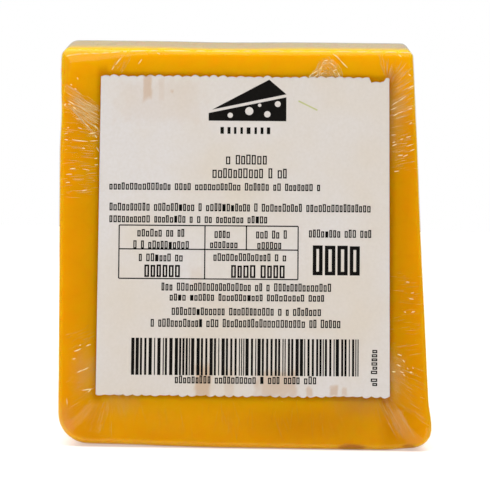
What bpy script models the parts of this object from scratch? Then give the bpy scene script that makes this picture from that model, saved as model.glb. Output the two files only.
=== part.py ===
"""A block of cheddar in tight clear film, with a paper scale label on its front.

The block stands on its flat bottom. Seen from the front, +X is to the right and +Z is up,
and the label faces -Y. Everything is in metres.
"""

import math
import random

import bmesh
import bpy
from mathutils import Vector

# The block, cut by hand from a larger loaf, so its sides are not quite square
BOTTOM_WIDTH = 0.0859
TOP_WIDTH = 0.0822
TOP_SHIFT = -0.0031
BACK_FLARE = 0.0010
BOTTOM_DEPTH = 0.0336
FRONT_LEAN = math.radians(5.0)
FRONT_HEIGHT = {"left": 0.0912, "right": 0.0919}
BACK_HEIGHT = {"left": 0.0961, "right": 0.0965}

# How far the four corners seen from the front are rounded off, at the front and at the back
CORNER_RADIUS = {
    ("left", "top"): (0.0018, 0.0028),
    ("right", "top"): (0.0011, 0.0018),
    ("left", "bottom"): (0.0072, 0.0060),
    ("right", "bottom"): (0.0044, 0.0044),
}
EDGE_RADIUS = 0.0012
CORNER_BAND = 0.0082

# The base lifts a little towards its ends: the x where it starts, its reach and its height
BASE_LIFTS = {"left": (-0.0040, 0.0330, 0.0005), "right": (0.0310, 0.0090, 0.0006)}
LIFT_FADES_BY = 0.0200

# The grid that the block is modelled on, and the bend below which its faces become one
GRID_SPACING = 0.0026
DEPTH_SPACING = 0.0048
FLAT_ANGLE = math.radians(0.4)
FACES_FRONT = -0.9
WELD_DISTANCE = 0.000001

# Soft dents and swellings: centre as (x, y, z), reach, and height out of the surface
SWELLINGS = {
    "upper_left_dent": ((-0.0430, -0.0060, 0.0770), 0.0105, -0.00040),
    "lower_right_film_pocket": ((0.0425, -0.0160, 0.0060), 0.0060, 0.00045),
    "right_side_hollow": ((0.0405, 0.0050, 0.0480), 0.0280, -0.00035),
    "left_side_hollow": ((-0.0430, 0.0060, 0.0380), 0.0240, -0.00030),
    "top_hollow": ((-0.0060, 0.0060, 0.0940), 0.0220, -0.00030),
}

# Gathered folds of film on the front: ends as (x, z), full width and height
FRONT_FOLDS = {
    "upper_left_gather": ((-0.0430, 0.0805), (-0.0355, 0.0735), 0.0060, 0.00040),
    "upper_right_gather": ((0.0350, 0.0890), (0.0385, 0.0905), 0.0045, 0.00025),
    "right_gather": ((0.0352, 0.0790), (0.0398, 0.0815), 0.0045, 0.00030),
    "lower_right_gather": ((0.0362, 0.0098), (0.0400, 0.0022), 0.0056, 0.00045),
    "lower_left_gather": ((-0.0362, 0.0102), (-0.0400, 0.0060), 0.0048, 0.00025),
}

# The film's ends, folded over each other on the back and sealed flat: outlines as (x, z),
# and how far each stands out of the back
FLAPS = {
    "top_flap": (
        ((-0.0330, 0.0925), (0.0270, 0.0928), (0.0130, 0.0660), (-0.0160, 0.0645)),
        0.00040,
    ),
    "bottom_flap": (
        ((-0.0345, 0.0030), (-0.0175, 0.0320), (0.0120, 0.0305), (0.0345, 0.0030)),
        0.00032,
    ),
    "lap_strip": (
        ((-0.0065, 0.0270), (-0.0050, 0.0700), (0.0025, 0.0700), (0.0010, 0.0270)),
        0.00024,
    ),
}
FLAP_SUNK = 0.0006

# The paper label: torn across its teeth at both ends, cut straight down its sides
LABEL_BOTTOM_WIDTH = 0.0675
LABEL_TOP_WIDTH = 0.0669
LABEL_HEIGHT = 0.0740
LABEL_THICKNESS = 0.0002
LABEL_GAP = 0.0003
LABEL_CENTRE = (-0.0008, 0.0488)
LABEL_TURN = math.radians(0.4)
TOOTH_PITCH = 0.0021
TOOTH_DEPTH = 0.0005
TOOTH_FORM = ((0.25, 0.75), (0.5, 1.0), (0.75, 0.7))
TEAR_SEED = 7

CHEESE_COLOUR = (0.72, 0.32, 0.01)
PAPER_COLOUR = (0.70, 0.67, 0.62)


def material(name, colour, roughness):
    mat = bpy.data.materials.new(name)
    mat.use_nodes = True
    shader = mat.node_tree.nodes["Principled BSDF"]
    shader.inputs["Base Color"].default_value = (*colour, 1.0)
    shader.inputs["Roughness"].default_value = roughness
    shader.inputs["Metallic"].default_value = 0.0
    mat.diffuse_color = (*colour, 1.0)
    return mat


def collection(name):
    made = bpy.data.collections.new(name)
    bpy.context.scene.collection.children.link(made)
    return made


def front_y(z):
    """The front face's depth at a height: it leans back from the bottom edge."""
    return -BOTTOM_DEPTH / 2 + z * math.tan(FRONT_LEAN)


def block_corner(across, deep, high):
    """One of the eight corners that the block would have with no rounding."""
    side = 1 if across == "right" else -1
    if high == "bottom":
        x, z = side * BOTTOM_WIDTH / 2, 0.0
    else:
        x = TOP_SHIFT + side * TOP_WIDTH / 2
        z = (FRONT_HEIGHT if deep == "front" else BACK_HEIGHT)[across]
    if deep == "front":
        return Vector((x, front_y(z), z))
    return Vector((x + side * BACK_FLARE, BOTTOM_DEPTH / 2, z))


def mean_size():
    """The plain box that is bent into the block: its width, depth and height."""
    width = (BOTTOM_WIDTH + TOP_WIDTH) / 2
    heights = [*FRONT_HEIGHT.values(), *BACK_HEIGHT.values()]
    height = sum(heights) / len(heights)
    depth = (BOTTOM_DEPTH + BOTTOM_DEPTH / 2 - front_y(height)) / 2
    return Vector((width, depth, height))


def stations(length, band, spacing):
    """Where the box is cut along one side: close together near both ends, even between."""
    near = [EDGE_RADIUS / 2, EDGE_RADIUS]
    if band > EDGE_RADIUS:
        near += [EDGE_RADIUS + (band - EDGE_RADIUS) * step / 3 for step in (1, 2, 3)]
    inner = length - 2 * near[-1]
    count = round(inner / spacing)
    between = [near[-1] + inner * step / count for step in range(1, count)]
    along = near + between + [length - place for place in reversed(near)]
    return [place - length / 2 for place in along]


def round_edges(point, half):
    """Rolls the edges of the front and the back over by EDGE_RADIUS."""
    inwards = min(half.x - abs(point.x), half.z - abs(point.z))
    behind = half.y - abs(point.y)
    if inwards >= EDGE_RADIUS or behind >= EDGE_RADIUS:
        return point
    across, deep = EDGE_RADIUS - inwards, EDGE_RADIUS - behind
    shrink = max(across, deep) / math.hypot(across, deep)
    new_inwards = EDGE_RADIUS - across * shrink
    new_behind = EDGE_RADIUS - deep * shrink
    return Vector((
        point.x * (half.x - new_inwards) / (half.x - inwards),
        math.copysign(half.y - new_behind, point.y),
        point.z * (half.z - new_inwards) / (half.z - inwards),
    ))


def round_corners(point, half):
    """Turns the square rings round a corner into arcs about one centre."""
    across = "right" if point.x > 0 else "left"
    high = "top" if point.z > 0 else "bottom"
    at_front, at_back = CORNER_RADIUS[across, high]
    radius = at_front + (at_back - at_front) * (point.y / half.y + 1) / 2
    over_x = abs(point.x) - (half.x - radius)
    over_z = abs(point.z) - (half.z - radius)
    if over_x <= 0 or over_z <= 0:
        return point
    shrink = max(over_x, over_z) / math.hypot(over_x, over_z)
    return Vector((
        math.copysign(half.x - radius + over_x * shrink, point.x),
        point.y,
        math.copysign(half.z - radius + over_z * shrink, point.z),
    ))


def bend(point, half):
    """Carries a point of the plain box to the block by its eight corners."""
    placed = Vector()
    for across, side_x in (("left", -1), ("right", 1)):
        for deep, side_y in (("front", -1), ("back", 1)):
            for high, side_z in (("bottom", -1), ("top", 1)):
                share = (
                    (1 + side_x * point.x / half.x)
                    * (1 + side_y * point.y / half.y)
                    * (1 + side_z * point.z / half.z)
                    / 8
                )
                placed += share * block_corner(across, deep, high)
    return placed


def soft_step(value):
    """1 at zero, falling smoothly to 0 at one."""
    return (1 + math.cos(math.pi * min(value, 1.0))) / 2


def base_lift(place):
    """How far the base is lifted at a point, less and less up the block."""
    lift = 0.0
    for side, (start, reach, height) in BASE_LIFTS.items():
        past = (start - place.x) if side == "left" else (place.x - start)
        lift += height * (1 - soft_step(max(past, 0.0) / reach))
    return lift * soft_step(max(place.z, 0.0) / LIFT_FADES_BY)


def swelling(place):
    """How far the dents and swellings move a point out of its surface."""
    return sum(
        height * soft_step((place - Vector(centre)).length / reach)
        for centre, reach, height in SWELLINGS.values()
    )


def fold(place):
    """How far the gathered film stands out of the front face at a point."""
    height = 0.0
    for start, end, width, top in FRONT_FOLDS.values():
        start, end = Vector(start), Vector(end)
        run = end - start
        here = Vector((place.x, place.z)) - start
        along = max(0.0, min(1.0, here.dot(run) / run.length_squared))
        aside = (here - along * run).length
        height = max(height, top * soft_step(aside / (width / 2)))
    return height


def block_mesh():
    """A box cut into a grid, rounded, bent to the block's form and given its relief."""
    size = mean_size()
    half = size / 2
    bm = bmesh.new()
    bmesh.ops.create_cube(bm, size=1.0)
    bmesh.ops.scale(bm, vec=size, verts=bm.verts)
    cuts = (
        (Vector((1, 0, 0)), stations(size.x, CORNER_BAND, GRID_SPACING)),
        (Vector((0, 1, 0)), stations(size.y, EDGE_RADIUS, DEPTH_SPACING)),
        (Vector((0, 0, 1)), stations(size.z, CORNER_BAND, GRID_SPACING)),
    )
    for normal, places in cuts:
        for place in places:
            whole = [*bm.verts, *bm.edges, *bm.faces]
            bmesh.ops.bisect_plane(bm, geom=whole, plane_co=normal * place, plane_no=normal)
    for vert in bm.verts:
        vert.co = bend(round_corners(round_edges(vert.co.copy(), half), half), half)
    bm.normal_update()
    moves = {}
    for vert in bm.verts:
        out = swelling(vert.co)
        if vert.normal.y < FACES_FRONT:
            out += fold(vert.co)
        up = Vector((0.0, 0.0, base_lift(vert.co)))
        moves[vert] = up + (vert.normal * out if vert.co.z > EDGE_RADIUS else Vector())
    for vert, move in moves.items():
        vert.co += move
    bmesh.ops.dissolve_limit(bm, angle_limit=FLAT_ANGLE, verts=bm.verts, edges=bm.edges)
    bmesh.ops.triangulate(bm, faces=bm.faces)
    mesh = bpy.data.meshes.new("cheddar_block")
    bm.to_mesh(mesh)
    bm.free()
    return mesh


def flat_plate(name, outline, thickness):
    """A flat outline of (x, y) points with an even thickness, as one closed mesh."""
    curve = bpy.data.curves.new(name, "CURVE")
    curve.dimensions = "2D"
    curve.fill_mode = "BOTH"
    curve.extrude = thickness / 2
    spline = curve.splines.new("POLY")
    spline.points.add(len(outline) - 1)
    for point, (x, y) in zip(spline.points, outline):
        point.co = (x, y, 0.0, 1.0)
    spline.use_cyclic_u = True
    drawn = bpy.data.objects.new(name + "_outline", curve)
    bpy.context.scene.collection.objects.link(drawn)
    bpy.context.view_layer.update()
    graph = bpy.context.evaluated_depsgraph_get()
    mesh = bpy.data.meshes.new_from_object(drawn.evaluated_get(graph))
    bpy.data.objects.remove(drawn)
    bm = bmesh.new()
    bm.from_mesh(mesh)
    bmesh.ops.remove_doubles(bm, verts=bm.verts, dist=WELD_DISTANCE)
    bmesh.ops.recalc_face_normals(bm, faces=bm.faces)
    bm.to_mesh(mesh)
    bm.free()
    mesh.name = name
    return mesh


def torn_edge(width, draw):
    """One torn end as (place along it, height): rounded teeth, none quite like the next."""
    count = round(width / TOOTH_PITCH)
    pitch = width / count
    points = [(0.0, 0.0)]
    for tooth in range(count):
        tall = TOOTH_DEPTH * draw.uniform(0.35, 1.1)
        lean = draw.uniform(-0.12, 0.12)
        for share, level in TOOTH_FORM:
            points.append(((tooth + share + lean * level) * pitch, tall * level))
        points.append(((tooth + 1) * pitch, TOOTH_DEPTH * draw.uniform(-0.1, 0.15)))
    points[-1] = (width, 0.0)
    return points


def label_outline():
    """The label's outline about its own middle, anticlockwise from the bottom left."""
    draw = random.Random(TEAR_SEED)
    low = (LABEL_HEIGHT - TOOTH_DEPTH) / 2
    bottom = [
        (along - LABEL_BOTTOM_WIDTH / 2, -low - height)
        for along, height in torn_edge(LABEL_BOTTOM_WIDTH, draw)
    ]
    top = [
        (LABEL_TOP_WIDTH / 2 - along, low + height)
        for along, height in torn_edge(LABEL_TOP_WIDTH, draw)
    ]
    return bottom + top


def add_object(name, mesh, where, mat=None):
    made = bpy.data.objects.new(name, mesh)
    if mat:
        mesh.materials.append(mat)
    where.objects.link(made)
    return made


def make_block(pack, joined):
    """The block, with the film's flaps joined on to its back."""
    block = add_object(
        "cheddar_block", block_mesh(), pack, material("cheddar_in_film", CHEESE_COLOUR, 0.25)
    )
    for name, (outline, proud) in FLAPS.items():
        flap = add_object(name, flat_plate(name, outline, proud + FLAP_SUNK), joined)
        flap.parent = block
        flap.location = (0.0, BOTTOM_DEPTH / 2 + (proud - FLAP_SUNK) / 2, 0.0)
        flap.rotation_euler = (math.radians(90), 0.0, 0.0)
        flap.hide_render = True
        flap.display_type = "WIRE"
        union = block.modifiers.new(name, "BOOLEAN")
        union.operation = "UNION"
        union.solver = "EXACT"
        union.object = flap
    return block


def make_label(pack):
    """The label, parallel to the front face and just clear of it."""
    label = add_object(
        "label",
        flat_plate("label", label_outline(), LABEL_THICKNESS),
        pack,
        material("paper", PAPER_COLOUR, 0.85),
    )
    x, z = LABEL_CENTRE
    off = LABEL_GAP + LABEL_THICKNESS / 2
    out = Vector((0.0, -math.cos(FRONT_LEAN), math.sin(FRONT_LEAN)))
    label.location = Vector((x, front_y(z), z)) + off * out
    label.rotation_mode = "XYZ"
    label.rotation_euler = (math.radians(90) - FRONT_LEAN, 0.0, 0.0)
    label.rotation_euler.rotate_axis("Z", LABEL_TURN)
    return label


def stand_at_origin(block, others):
    """Parents all to one empty, which puts the middle of the block's base at the origin."""
    bpy.context.view_layer.update()
    graph = bpy.context.evaluated_depsgraph_get()
    corners = [Vector(corner) for corner in block.evaluated_get(graph).bound_box]
    low = Vector([min(corner[axis] for corner in corners) for axis in range(3)])
    high = Vector([max(corner[axis] for corner in corners) for axis in range(3)])
    base = bpy.data.objects.new("base_centre", None)
    bpy.context.scene.collection.objects.link(base)
    base.location = (-(low.x + high.x) / 2, -(low.y + high.y) / 2, -low.z)
    for part in (block, *others):
        part.parent = base


def main():
    for old in list(bpy.data.objects):
        bpy.data.objects.remove(old)
    pack = collection("cheddar_pack")
    joined = collection("joined_on")
    block = make_block(pack, joined)
    label = make_label(pack)
    stand_at_origin(block, [label])


main()
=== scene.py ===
import math
import random

import bmesh
import bpy
import numpy as np
from mathutils import Matrix, Vector
from mathutils.bvhtree import BVHTree


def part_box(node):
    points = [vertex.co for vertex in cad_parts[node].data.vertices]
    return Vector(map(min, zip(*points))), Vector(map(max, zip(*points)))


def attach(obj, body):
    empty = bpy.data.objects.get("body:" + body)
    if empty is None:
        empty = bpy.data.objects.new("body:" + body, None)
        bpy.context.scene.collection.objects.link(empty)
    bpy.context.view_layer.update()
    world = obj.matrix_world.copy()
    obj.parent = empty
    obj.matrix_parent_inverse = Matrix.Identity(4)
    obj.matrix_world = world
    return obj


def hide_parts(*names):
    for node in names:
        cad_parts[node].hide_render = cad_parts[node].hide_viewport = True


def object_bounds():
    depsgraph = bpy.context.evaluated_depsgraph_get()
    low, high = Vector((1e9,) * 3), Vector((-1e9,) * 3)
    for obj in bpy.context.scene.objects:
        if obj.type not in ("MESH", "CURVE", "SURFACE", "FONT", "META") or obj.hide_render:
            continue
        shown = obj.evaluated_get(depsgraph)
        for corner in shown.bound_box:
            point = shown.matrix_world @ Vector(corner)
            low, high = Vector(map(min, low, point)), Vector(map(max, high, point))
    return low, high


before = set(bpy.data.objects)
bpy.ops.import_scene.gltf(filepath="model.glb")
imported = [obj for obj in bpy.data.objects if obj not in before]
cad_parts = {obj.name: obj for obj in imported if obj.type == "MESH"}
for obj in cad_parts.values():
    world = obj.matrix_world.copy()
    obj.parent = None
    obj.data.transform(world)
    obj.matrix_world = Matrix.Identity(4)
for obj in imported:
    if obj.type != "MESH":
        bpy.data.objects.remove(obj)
cadLow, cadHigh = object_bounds()
blockLow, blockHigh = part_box("cheddar_block")
print("frame loaded:", ", ".join(sorted(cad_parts)))

mm = 0.001


def linear(hexCode):
    # an sRGB hex colour as linear red, green, blue and alpha
    shares = [int(hexCode[at:at + 2], 16) / 255 for at in (0, 2, 4)]
    return (*[s / 12.92 if s <= 0.04045 else ((s + 0.055) / 1.055) ** 2.4 for s in shares], 1.0)


def addNode(tree, kind, settings, inputs):
    # one node, with its settings, and its inputs as values, nodes or sockets to link
    node = tree.nodes.new(kind)
    for name, value in settings.items():
        setattr(node, name, value)
    for socket, value in inputs.items():
        if isinstance(value, bpy.types.Node):
            value = value.outputs[0]
        if isinstance(value, bpy.types.NodeSocket):
            tree.links.new(value, node.inputs[socket])
        else:
            node.inputs[socket].default_value = value
    return node


def newMaterial(name):
    made = bpy.data.materials.new(name)
    made.use_nodes = True
    made.node_tree.nodes.clear()
    return made, made.node_tree


def finishMaterial(tree, shader):
    addNode(tree, "ShaderNodeOutputMaterial", {}, {"Surface": shader})


def placeObject(name, data):
    made = bpy.data.objects.new(name, data)
    bpy.context.scene.collection.objects.link(made)
    return made


def evaluatedMesh(carrier, name):
    # what an object shows, as a plain mesh, and the object removed
    graph = bpy.context.evaluated_depsgraph_get()
    made = bpy.data.meshes.new_from_object(carrier.evaluated_get(graph))
    bpy.data.objects.remove(carrier)
    made.name = name
    return made


def newPiece(name, points, faces, material, attributes=None):
    # a smooth mesh piece from points and faces, with its point attributes
    mesh = bpy.data.meshes.new(name)
    mesh.from_pydata([tuple(p) for p in points], [], [tuple(f) for f in faces])
    for attribute, values in (attributes or {}).items():
        layer = mesh.attributes.new(attribute, "FLOAT", "POINT")
        layer.data.foreach_set("value", np.asarray(values, np.float32))
    mesh.materials.append(material)
    mesh.shade_smooth()
    return placeObject(name, mesh)


def gridFaces(columns, rows):
    # the quads of a grid of points that is numbered row by row
    wide = columns + 1
    return [(r * wide + c, r * wide + c + 1, (r + 1) * wide + c + 1, (r + 1) * wide + c)
            for r in range(rows) for c in range(columns)]


def thicken(piece, thickness):
    sheet = piece.modifiers.new("thickness", "SOLIDIFY")
    sheet.thickness = thickness
    sheet.offset = 0.0


def softStep(value):
    # 1 at zero, falling smoothly to 0 at one
    return (1 + np.cos(np.pi * np.clip(value, 0.0, 1.0))) / 2


# The block's form: the same sizes as the solid's, so that the fine surfaces lie on it
blockForm = {
    "bottomWidth": 0.0859,
    "topWidth": 0.0822,
    "topShift": -0.0031,
    "backFlare": 0.0010,
    "bottomDepth": 0.0336,
    "frontLean": math.radians(5.0),
    "frontHeight": {-1: 0.0912, 1: 0.0919},  # left, right
    "backHeight": {-1: 0.0961, 1: 0.0965},
    "cornerRadius": {  # (left or right, bottom or top): at the front, at the back
        (-1, 1): (0.0018, 0.0028),
        (1, 1): (0.0011, 0.0018),
        (-1, -1): (0.0072, 0.0060),
        (1, -1): (0.0044, 0.0044),
    },
    "edgeRadius": 0.0012,
    "softCorner": (0.0030, 0.0240, 0.0120),  # more radius at the front's top left, fading by, down by
    "baseLift": {-1: (-0.0040, 0.0330, 0.0005), 1: (0.0310, 0.0090, 0.0006)},
    "liftFadesBy": 0.0200,
    "swellings": (  # centre, reach, height
        ((-0.0430, -0.0060, 0.0770), 0.0105, -0.00040),
        ((0.0425, -0.0160, 0.0060), 0.0060, 0.00045),
        ((0.0405, 0.0050, 0.0480), 0.0280, -0.00035),
        ((-0.0430, 0.0060, 0.0380), 0.0240, -0.00030),
        ((-0.0060, 0.0060, 0.0940), 0.0220, -0.00030),
    ),
    "backFlapProud": 0.0004,
}


def frontDepth(z):
    return -blockForm["bottomDepth"] / 2 + z * math.tan(blockForm["frontLean"])


def blockCorner(sideX, sideY, sideZ):
    # one of the eight corners that the block would have with no rounding
    if sideZ < 0:
        x, z = sideX * blockForm["bottomWidth"] / 2, 0.0
    else:
        x = blockForm["topShift"] + sideX * blockForm["topWidth"] / 2
        z = blockForm["frontHeight" if sideY < 0 else "backHeight"][sideX]
    if sideY < 0:
        return np.array((x, frontDepth(z), z))
    return np.array((x + sideX * blockForm["backFlare"], blockForm["bottomDepth"] / 2, z))


def plainSize():
    # the plain box that is bent into the block
    heights = [*blockForm["frontHeight"].values(), *blockForm["backHeight"].values()]
    height = sum(heights) / 4
    width = (blockForm["bottomWidth"] + blockForm["topWidth"]) / 2
    depth = (blockForm["bottomDepth"] * 3 / 2 - frontDepth(height)) / 2
    return np.array((width, depth, height))


half = plainSize() / 2


def rollEdges(plain):
    # rolls the edges of the front and the back over
    more, along, down = blockForm["softCorner"]
    ease = softStep((plain[:, 0] + half[0]) / along) * softStep((half[2] - plain[:, 2]) / down)
    radius = blockForm["edgeRadius"] + more * np.where(plain[:, 1] < 0, ease, 0.0)
    gaps = half - np.abs(plain)
    inwards, behind = np.minimum(gaps[:, 0], gaps[:, 2]), gaps[:, 1]
    near = (inwards < radius) & (behind < radius)
    radius = radius[near]
    across, deep, p = radius - inwards[near], radius - behind[near], plain[near]
    shrink = np.maximum(across, deep) / np.hypot(across, deep)
    newInwards, newBehind = radius - across * shrink, radius - deep * shrink
    rolled = plain.copy()
    for axis in (0, 2):
        rolled[near, axis] = p[:, axis] * (half[axis] - newInwards) / (half[axis] - inwards[near])
    rolled[near, 1] = np.copysign(half[1] - newBehind, p[:, 1])
    return rolled


def roundCorners(plain):
    # turns the square rings round a corner into arcs
    rounded = plain.copy()
    for (sideX, sideZ), (atFront, atBack) in blockForm["cornerRadius"].items():
        radius = atFront + (atBack - atFront) * (plain[:, 1] / half[1] + 1) / 2
        overX = plain[:, 0] * sideX - (half[0] - radius)
        overZ = plain[:, 2] * sideZ - (half[2] - radius)
        near = (overX > 0) & (overZ > 0)
        overX, overZ, radius = overX[near], overZ[near], radius[near]
        shrink = np.maximum(overX, overZ) / np.hypot(overX, overZ)
        rounded[near, 0] = sideX * (half[0] - radius + overX * shrink)
        rounded[near, 2] = sideZ * (half[2] - radius + overZ * shrink)
    return rounded


def shapeBlock(plain):
    # carries points of the plain box on to the block, before any relief
    p = roundCorners(rollEdges(np.asarray(plain, float)))
    placed = np.zeros_like(p)
    for sideX in (-1, 1):
        for sideY in (-1, 1):
            for sideZ in (-1, 1):
                share = np.prod(1 + np.array((sideX, sideY, sideZ)) * p / half, axis=1) / 8
                placed += share[:, None] * blockCorner(sideX, sideY, sideZ)
    lift = np.zeros(len(placed))
    for side, (start, reach, height) in blockForm["baseLift"].items():
        past = np.maximum((placed[:, 0] - start) * side, 0.0)
        lift += height * (1 - softStep(past / reach))
    placed[:, 2] += lift * softStep(placed[:, 2] / blockForm["liftFadesBy"])
    return placed


def swelling(points):
    # how far the dents and swellings move each point out of its surface
    out = np.zeros(len(points))
    for centre, reach, height in blockForm["swellings"]:
        out += height * softStep(np.linalg.norm(points - np.array(centre), axis=1) / reach)
    return np.where(points[:, 2] > blockForm["edgeRadius"], out, 0.0)


def cutPlaces(length, spacing):
    # where a side of the plain box is cut: close together in the rolled edges
    radius = blockForm["edgeRadius"]
    near = [radius * share for share in (0.0, 0.25, 0.5, 0.75)]
    inner = length - 2 * radius
    count = max(1, round(inner / spacing))
    between = [radius + inner * step / count for step in range(count + 1)]
    places = near + between + [length - place for place in reversed(near)]
    return [place - length / 2 for place in places]


def boxGrid(spacing, depthSpacing):
    # the plain box's skin as points and outward quads
    cuts = [cutPlaces(2 * half[axis], (spacing, depthSpacing, spacing)[axis]) for axis in range(3)]
    numbers = {}
    faces = []
    for axis in range(3):
        across, along = (axis + 1) % 3, (axis + 2) % 3
        for end in (0, len(cuts[axis]) - 1):
            for p in range(len(cuts[across]) - 1):
                for q in range(len(cuts[along]) - 1):
                    ring = []
                    for stepP, stepQ in ((0, 0), (1, 0), (1, 1), (0, 1)):
                        spot = [end, end, end]
                        spot[across], spot[along] = p + stepP, q + stepQ
                        ring.append(numbers.setdefault(tuple(spot), len(numbers)))
                    faces.append(ring if end else ring[::-1])
    points = [[cuts[axis][spot[axis]] for axis in range(3)] for spot in numbers]
    return np.array(points), faces


def refine(points, faces, inZone, cuts):
    # the same skin with finer faces in one zone
    bm = bmesh.new()
    verts = [bm.verts.new(point) for point in points]
    for face in faces:
        bm.faces.new([verts[number] for number in face])
    bm.faces.ensure_lookup_table()
    bm.edges.index_update()
    chosen = {edge for face in bm.faces if inZone(face.calc_center_median()) for edge in face.edges}
    bmesh.ops.subdivide_edges(bm, edges=sorted(chosen, key=lambda edge: edge.index), cuts=cuts,
                              use_grid_fill=True)
    odd = [face for face in bm.faces if len(face.verts) > 4]
    bmesh.ops.triangulate(bm, faces=odd)
    bm.verts.index_update()
    points = np.array([vert.co for vert in bm.verts])
    faces = [[vert.index for vert in face.verts] for face in bm.faces]
    bm.free()
    return points, faces


def surfaceNormals(points, faces):
    mesh = bpy.data.meshes.new("normals")
    mesh.from_pydata([tuple(p) for p in points], [], faces)
    found = np.zeros(len(points) * 3, np.float32)
    mesh.vertices.foreach_get("normal", found)
    bpy.data.meshes.remove(mesh)
    return found.reshape(-1, 3).astype(float)


# From the script's own block to the frame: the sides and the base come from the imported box
coarsePoints = shapeBlock(boxGrid(2.5 * mm, 4 * mm)[0])
toFrame = np.array((
    (blockLow.x + blockHigh.x - coarsePoints[:, 0].min() - coarsePoints[:, 0].max()) / 2,
    blockHigh.y - blockForm["bottomDepth"] / 2 - blockForm["backFlapProud"],
    blockLow.z - coarsePoints[:, 2].min(),
))

# The camera stands where the photograph was taken from, level with the label
view = {
    "target": (0.0002, 0.0, 0.0463),
    "distance": 0.400,
    "elevation": math.radians(1.5),
    "roll": math.radians(0.85),
    "lens": 123.2,
    "sensor": 36.0,
    "pixels": 490,
}


def cameraAxes():
    back = Vector((0, -math.cos(view["elevation"]), math.sin(view["elevation"])))
    level = Vector((1, 0, 0))
    upright = level.cross(-back)
    right = math.cos(view["roll"]) * level + math.sin(view["roll"]) * upright
    up = -math.sin(view["roll"]) * level + math.cos(view["roll"]) * upright
    return Vector(view["target"]) + view["distance"] * back, right, up, back


def addCamera():
    eye, right, up, back = cameraAxes()
    data = bpy.data.cameras.new("camera")
    data.lens = view["lens"]
    data.sensor_width = view["sensor"]
    data.clip_start = 0.01
    data.clip_end = 20
    camera = placeObject("camera", data)
    camera.matrix_world = Matrix.Translation(eye) @ Matrix((right, up, back)).transposed().to_4x4()
    bpy.context.scene.camera = camera


addCamera()


def frontPlace(pixelX, pixelY):
    # the (x, z) on the front face that shows at a pixel of the photograph
    eye, right, up, back = cameraAxes()
    focal = view["lens"] / view["sensor"] * view["pixels"]
    ray = -back + right * (pixelX - view["pixels"] / 2) / focal - up * (pixelY - view["pixels"] / 2) / focal
    eye = eye - Vector(toFrame)
    slope = math.tan(blockForm["frontLean"])
    reach = (frontDepth(0.0) + slope * eye.z - eye.y) / (ray.y - slope * ray.z)
    spot = eye + reach * ray
    return spot.x, spot.z


def wrapFront(x, z):
    # places on the front face, and past its edges round the sides, as points of the plain box
    x, z = np.asarray(x, float), np.asarray(z, float)
    foot = blockForm["bottomWidth"]
    share, up = (x + foot / 2) / foot, z / blockForm["frontHeight"][1]
    for _ in range(5):
        left = -foot / 2 + up * (blockForm["topShift"] - blockForm["topWidth"] / 2 + foot / 2)
        width = foot + up * (blockForm["topWidth"] - foot)
        share = (x - left) / width
        tall = blockForm["frontHeight"][-1] * (1 - share) + blockForm["frontHeight"][1] * share
        up = z / tall
    u, v = (2 * share - 1) * half[0], (2 * up - 1) * half[2]
    over = np.maximum(np.maximum(np.abs(u) - half[0], np.abs(v) - half[2]), 0.0)
    return np.stack((
        np.clip(u, -half[0], half[0]), np.minimum(over - half[1], half[1]), np.clip(v, -half[2], half[2])
    ), axis=1)


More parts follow.
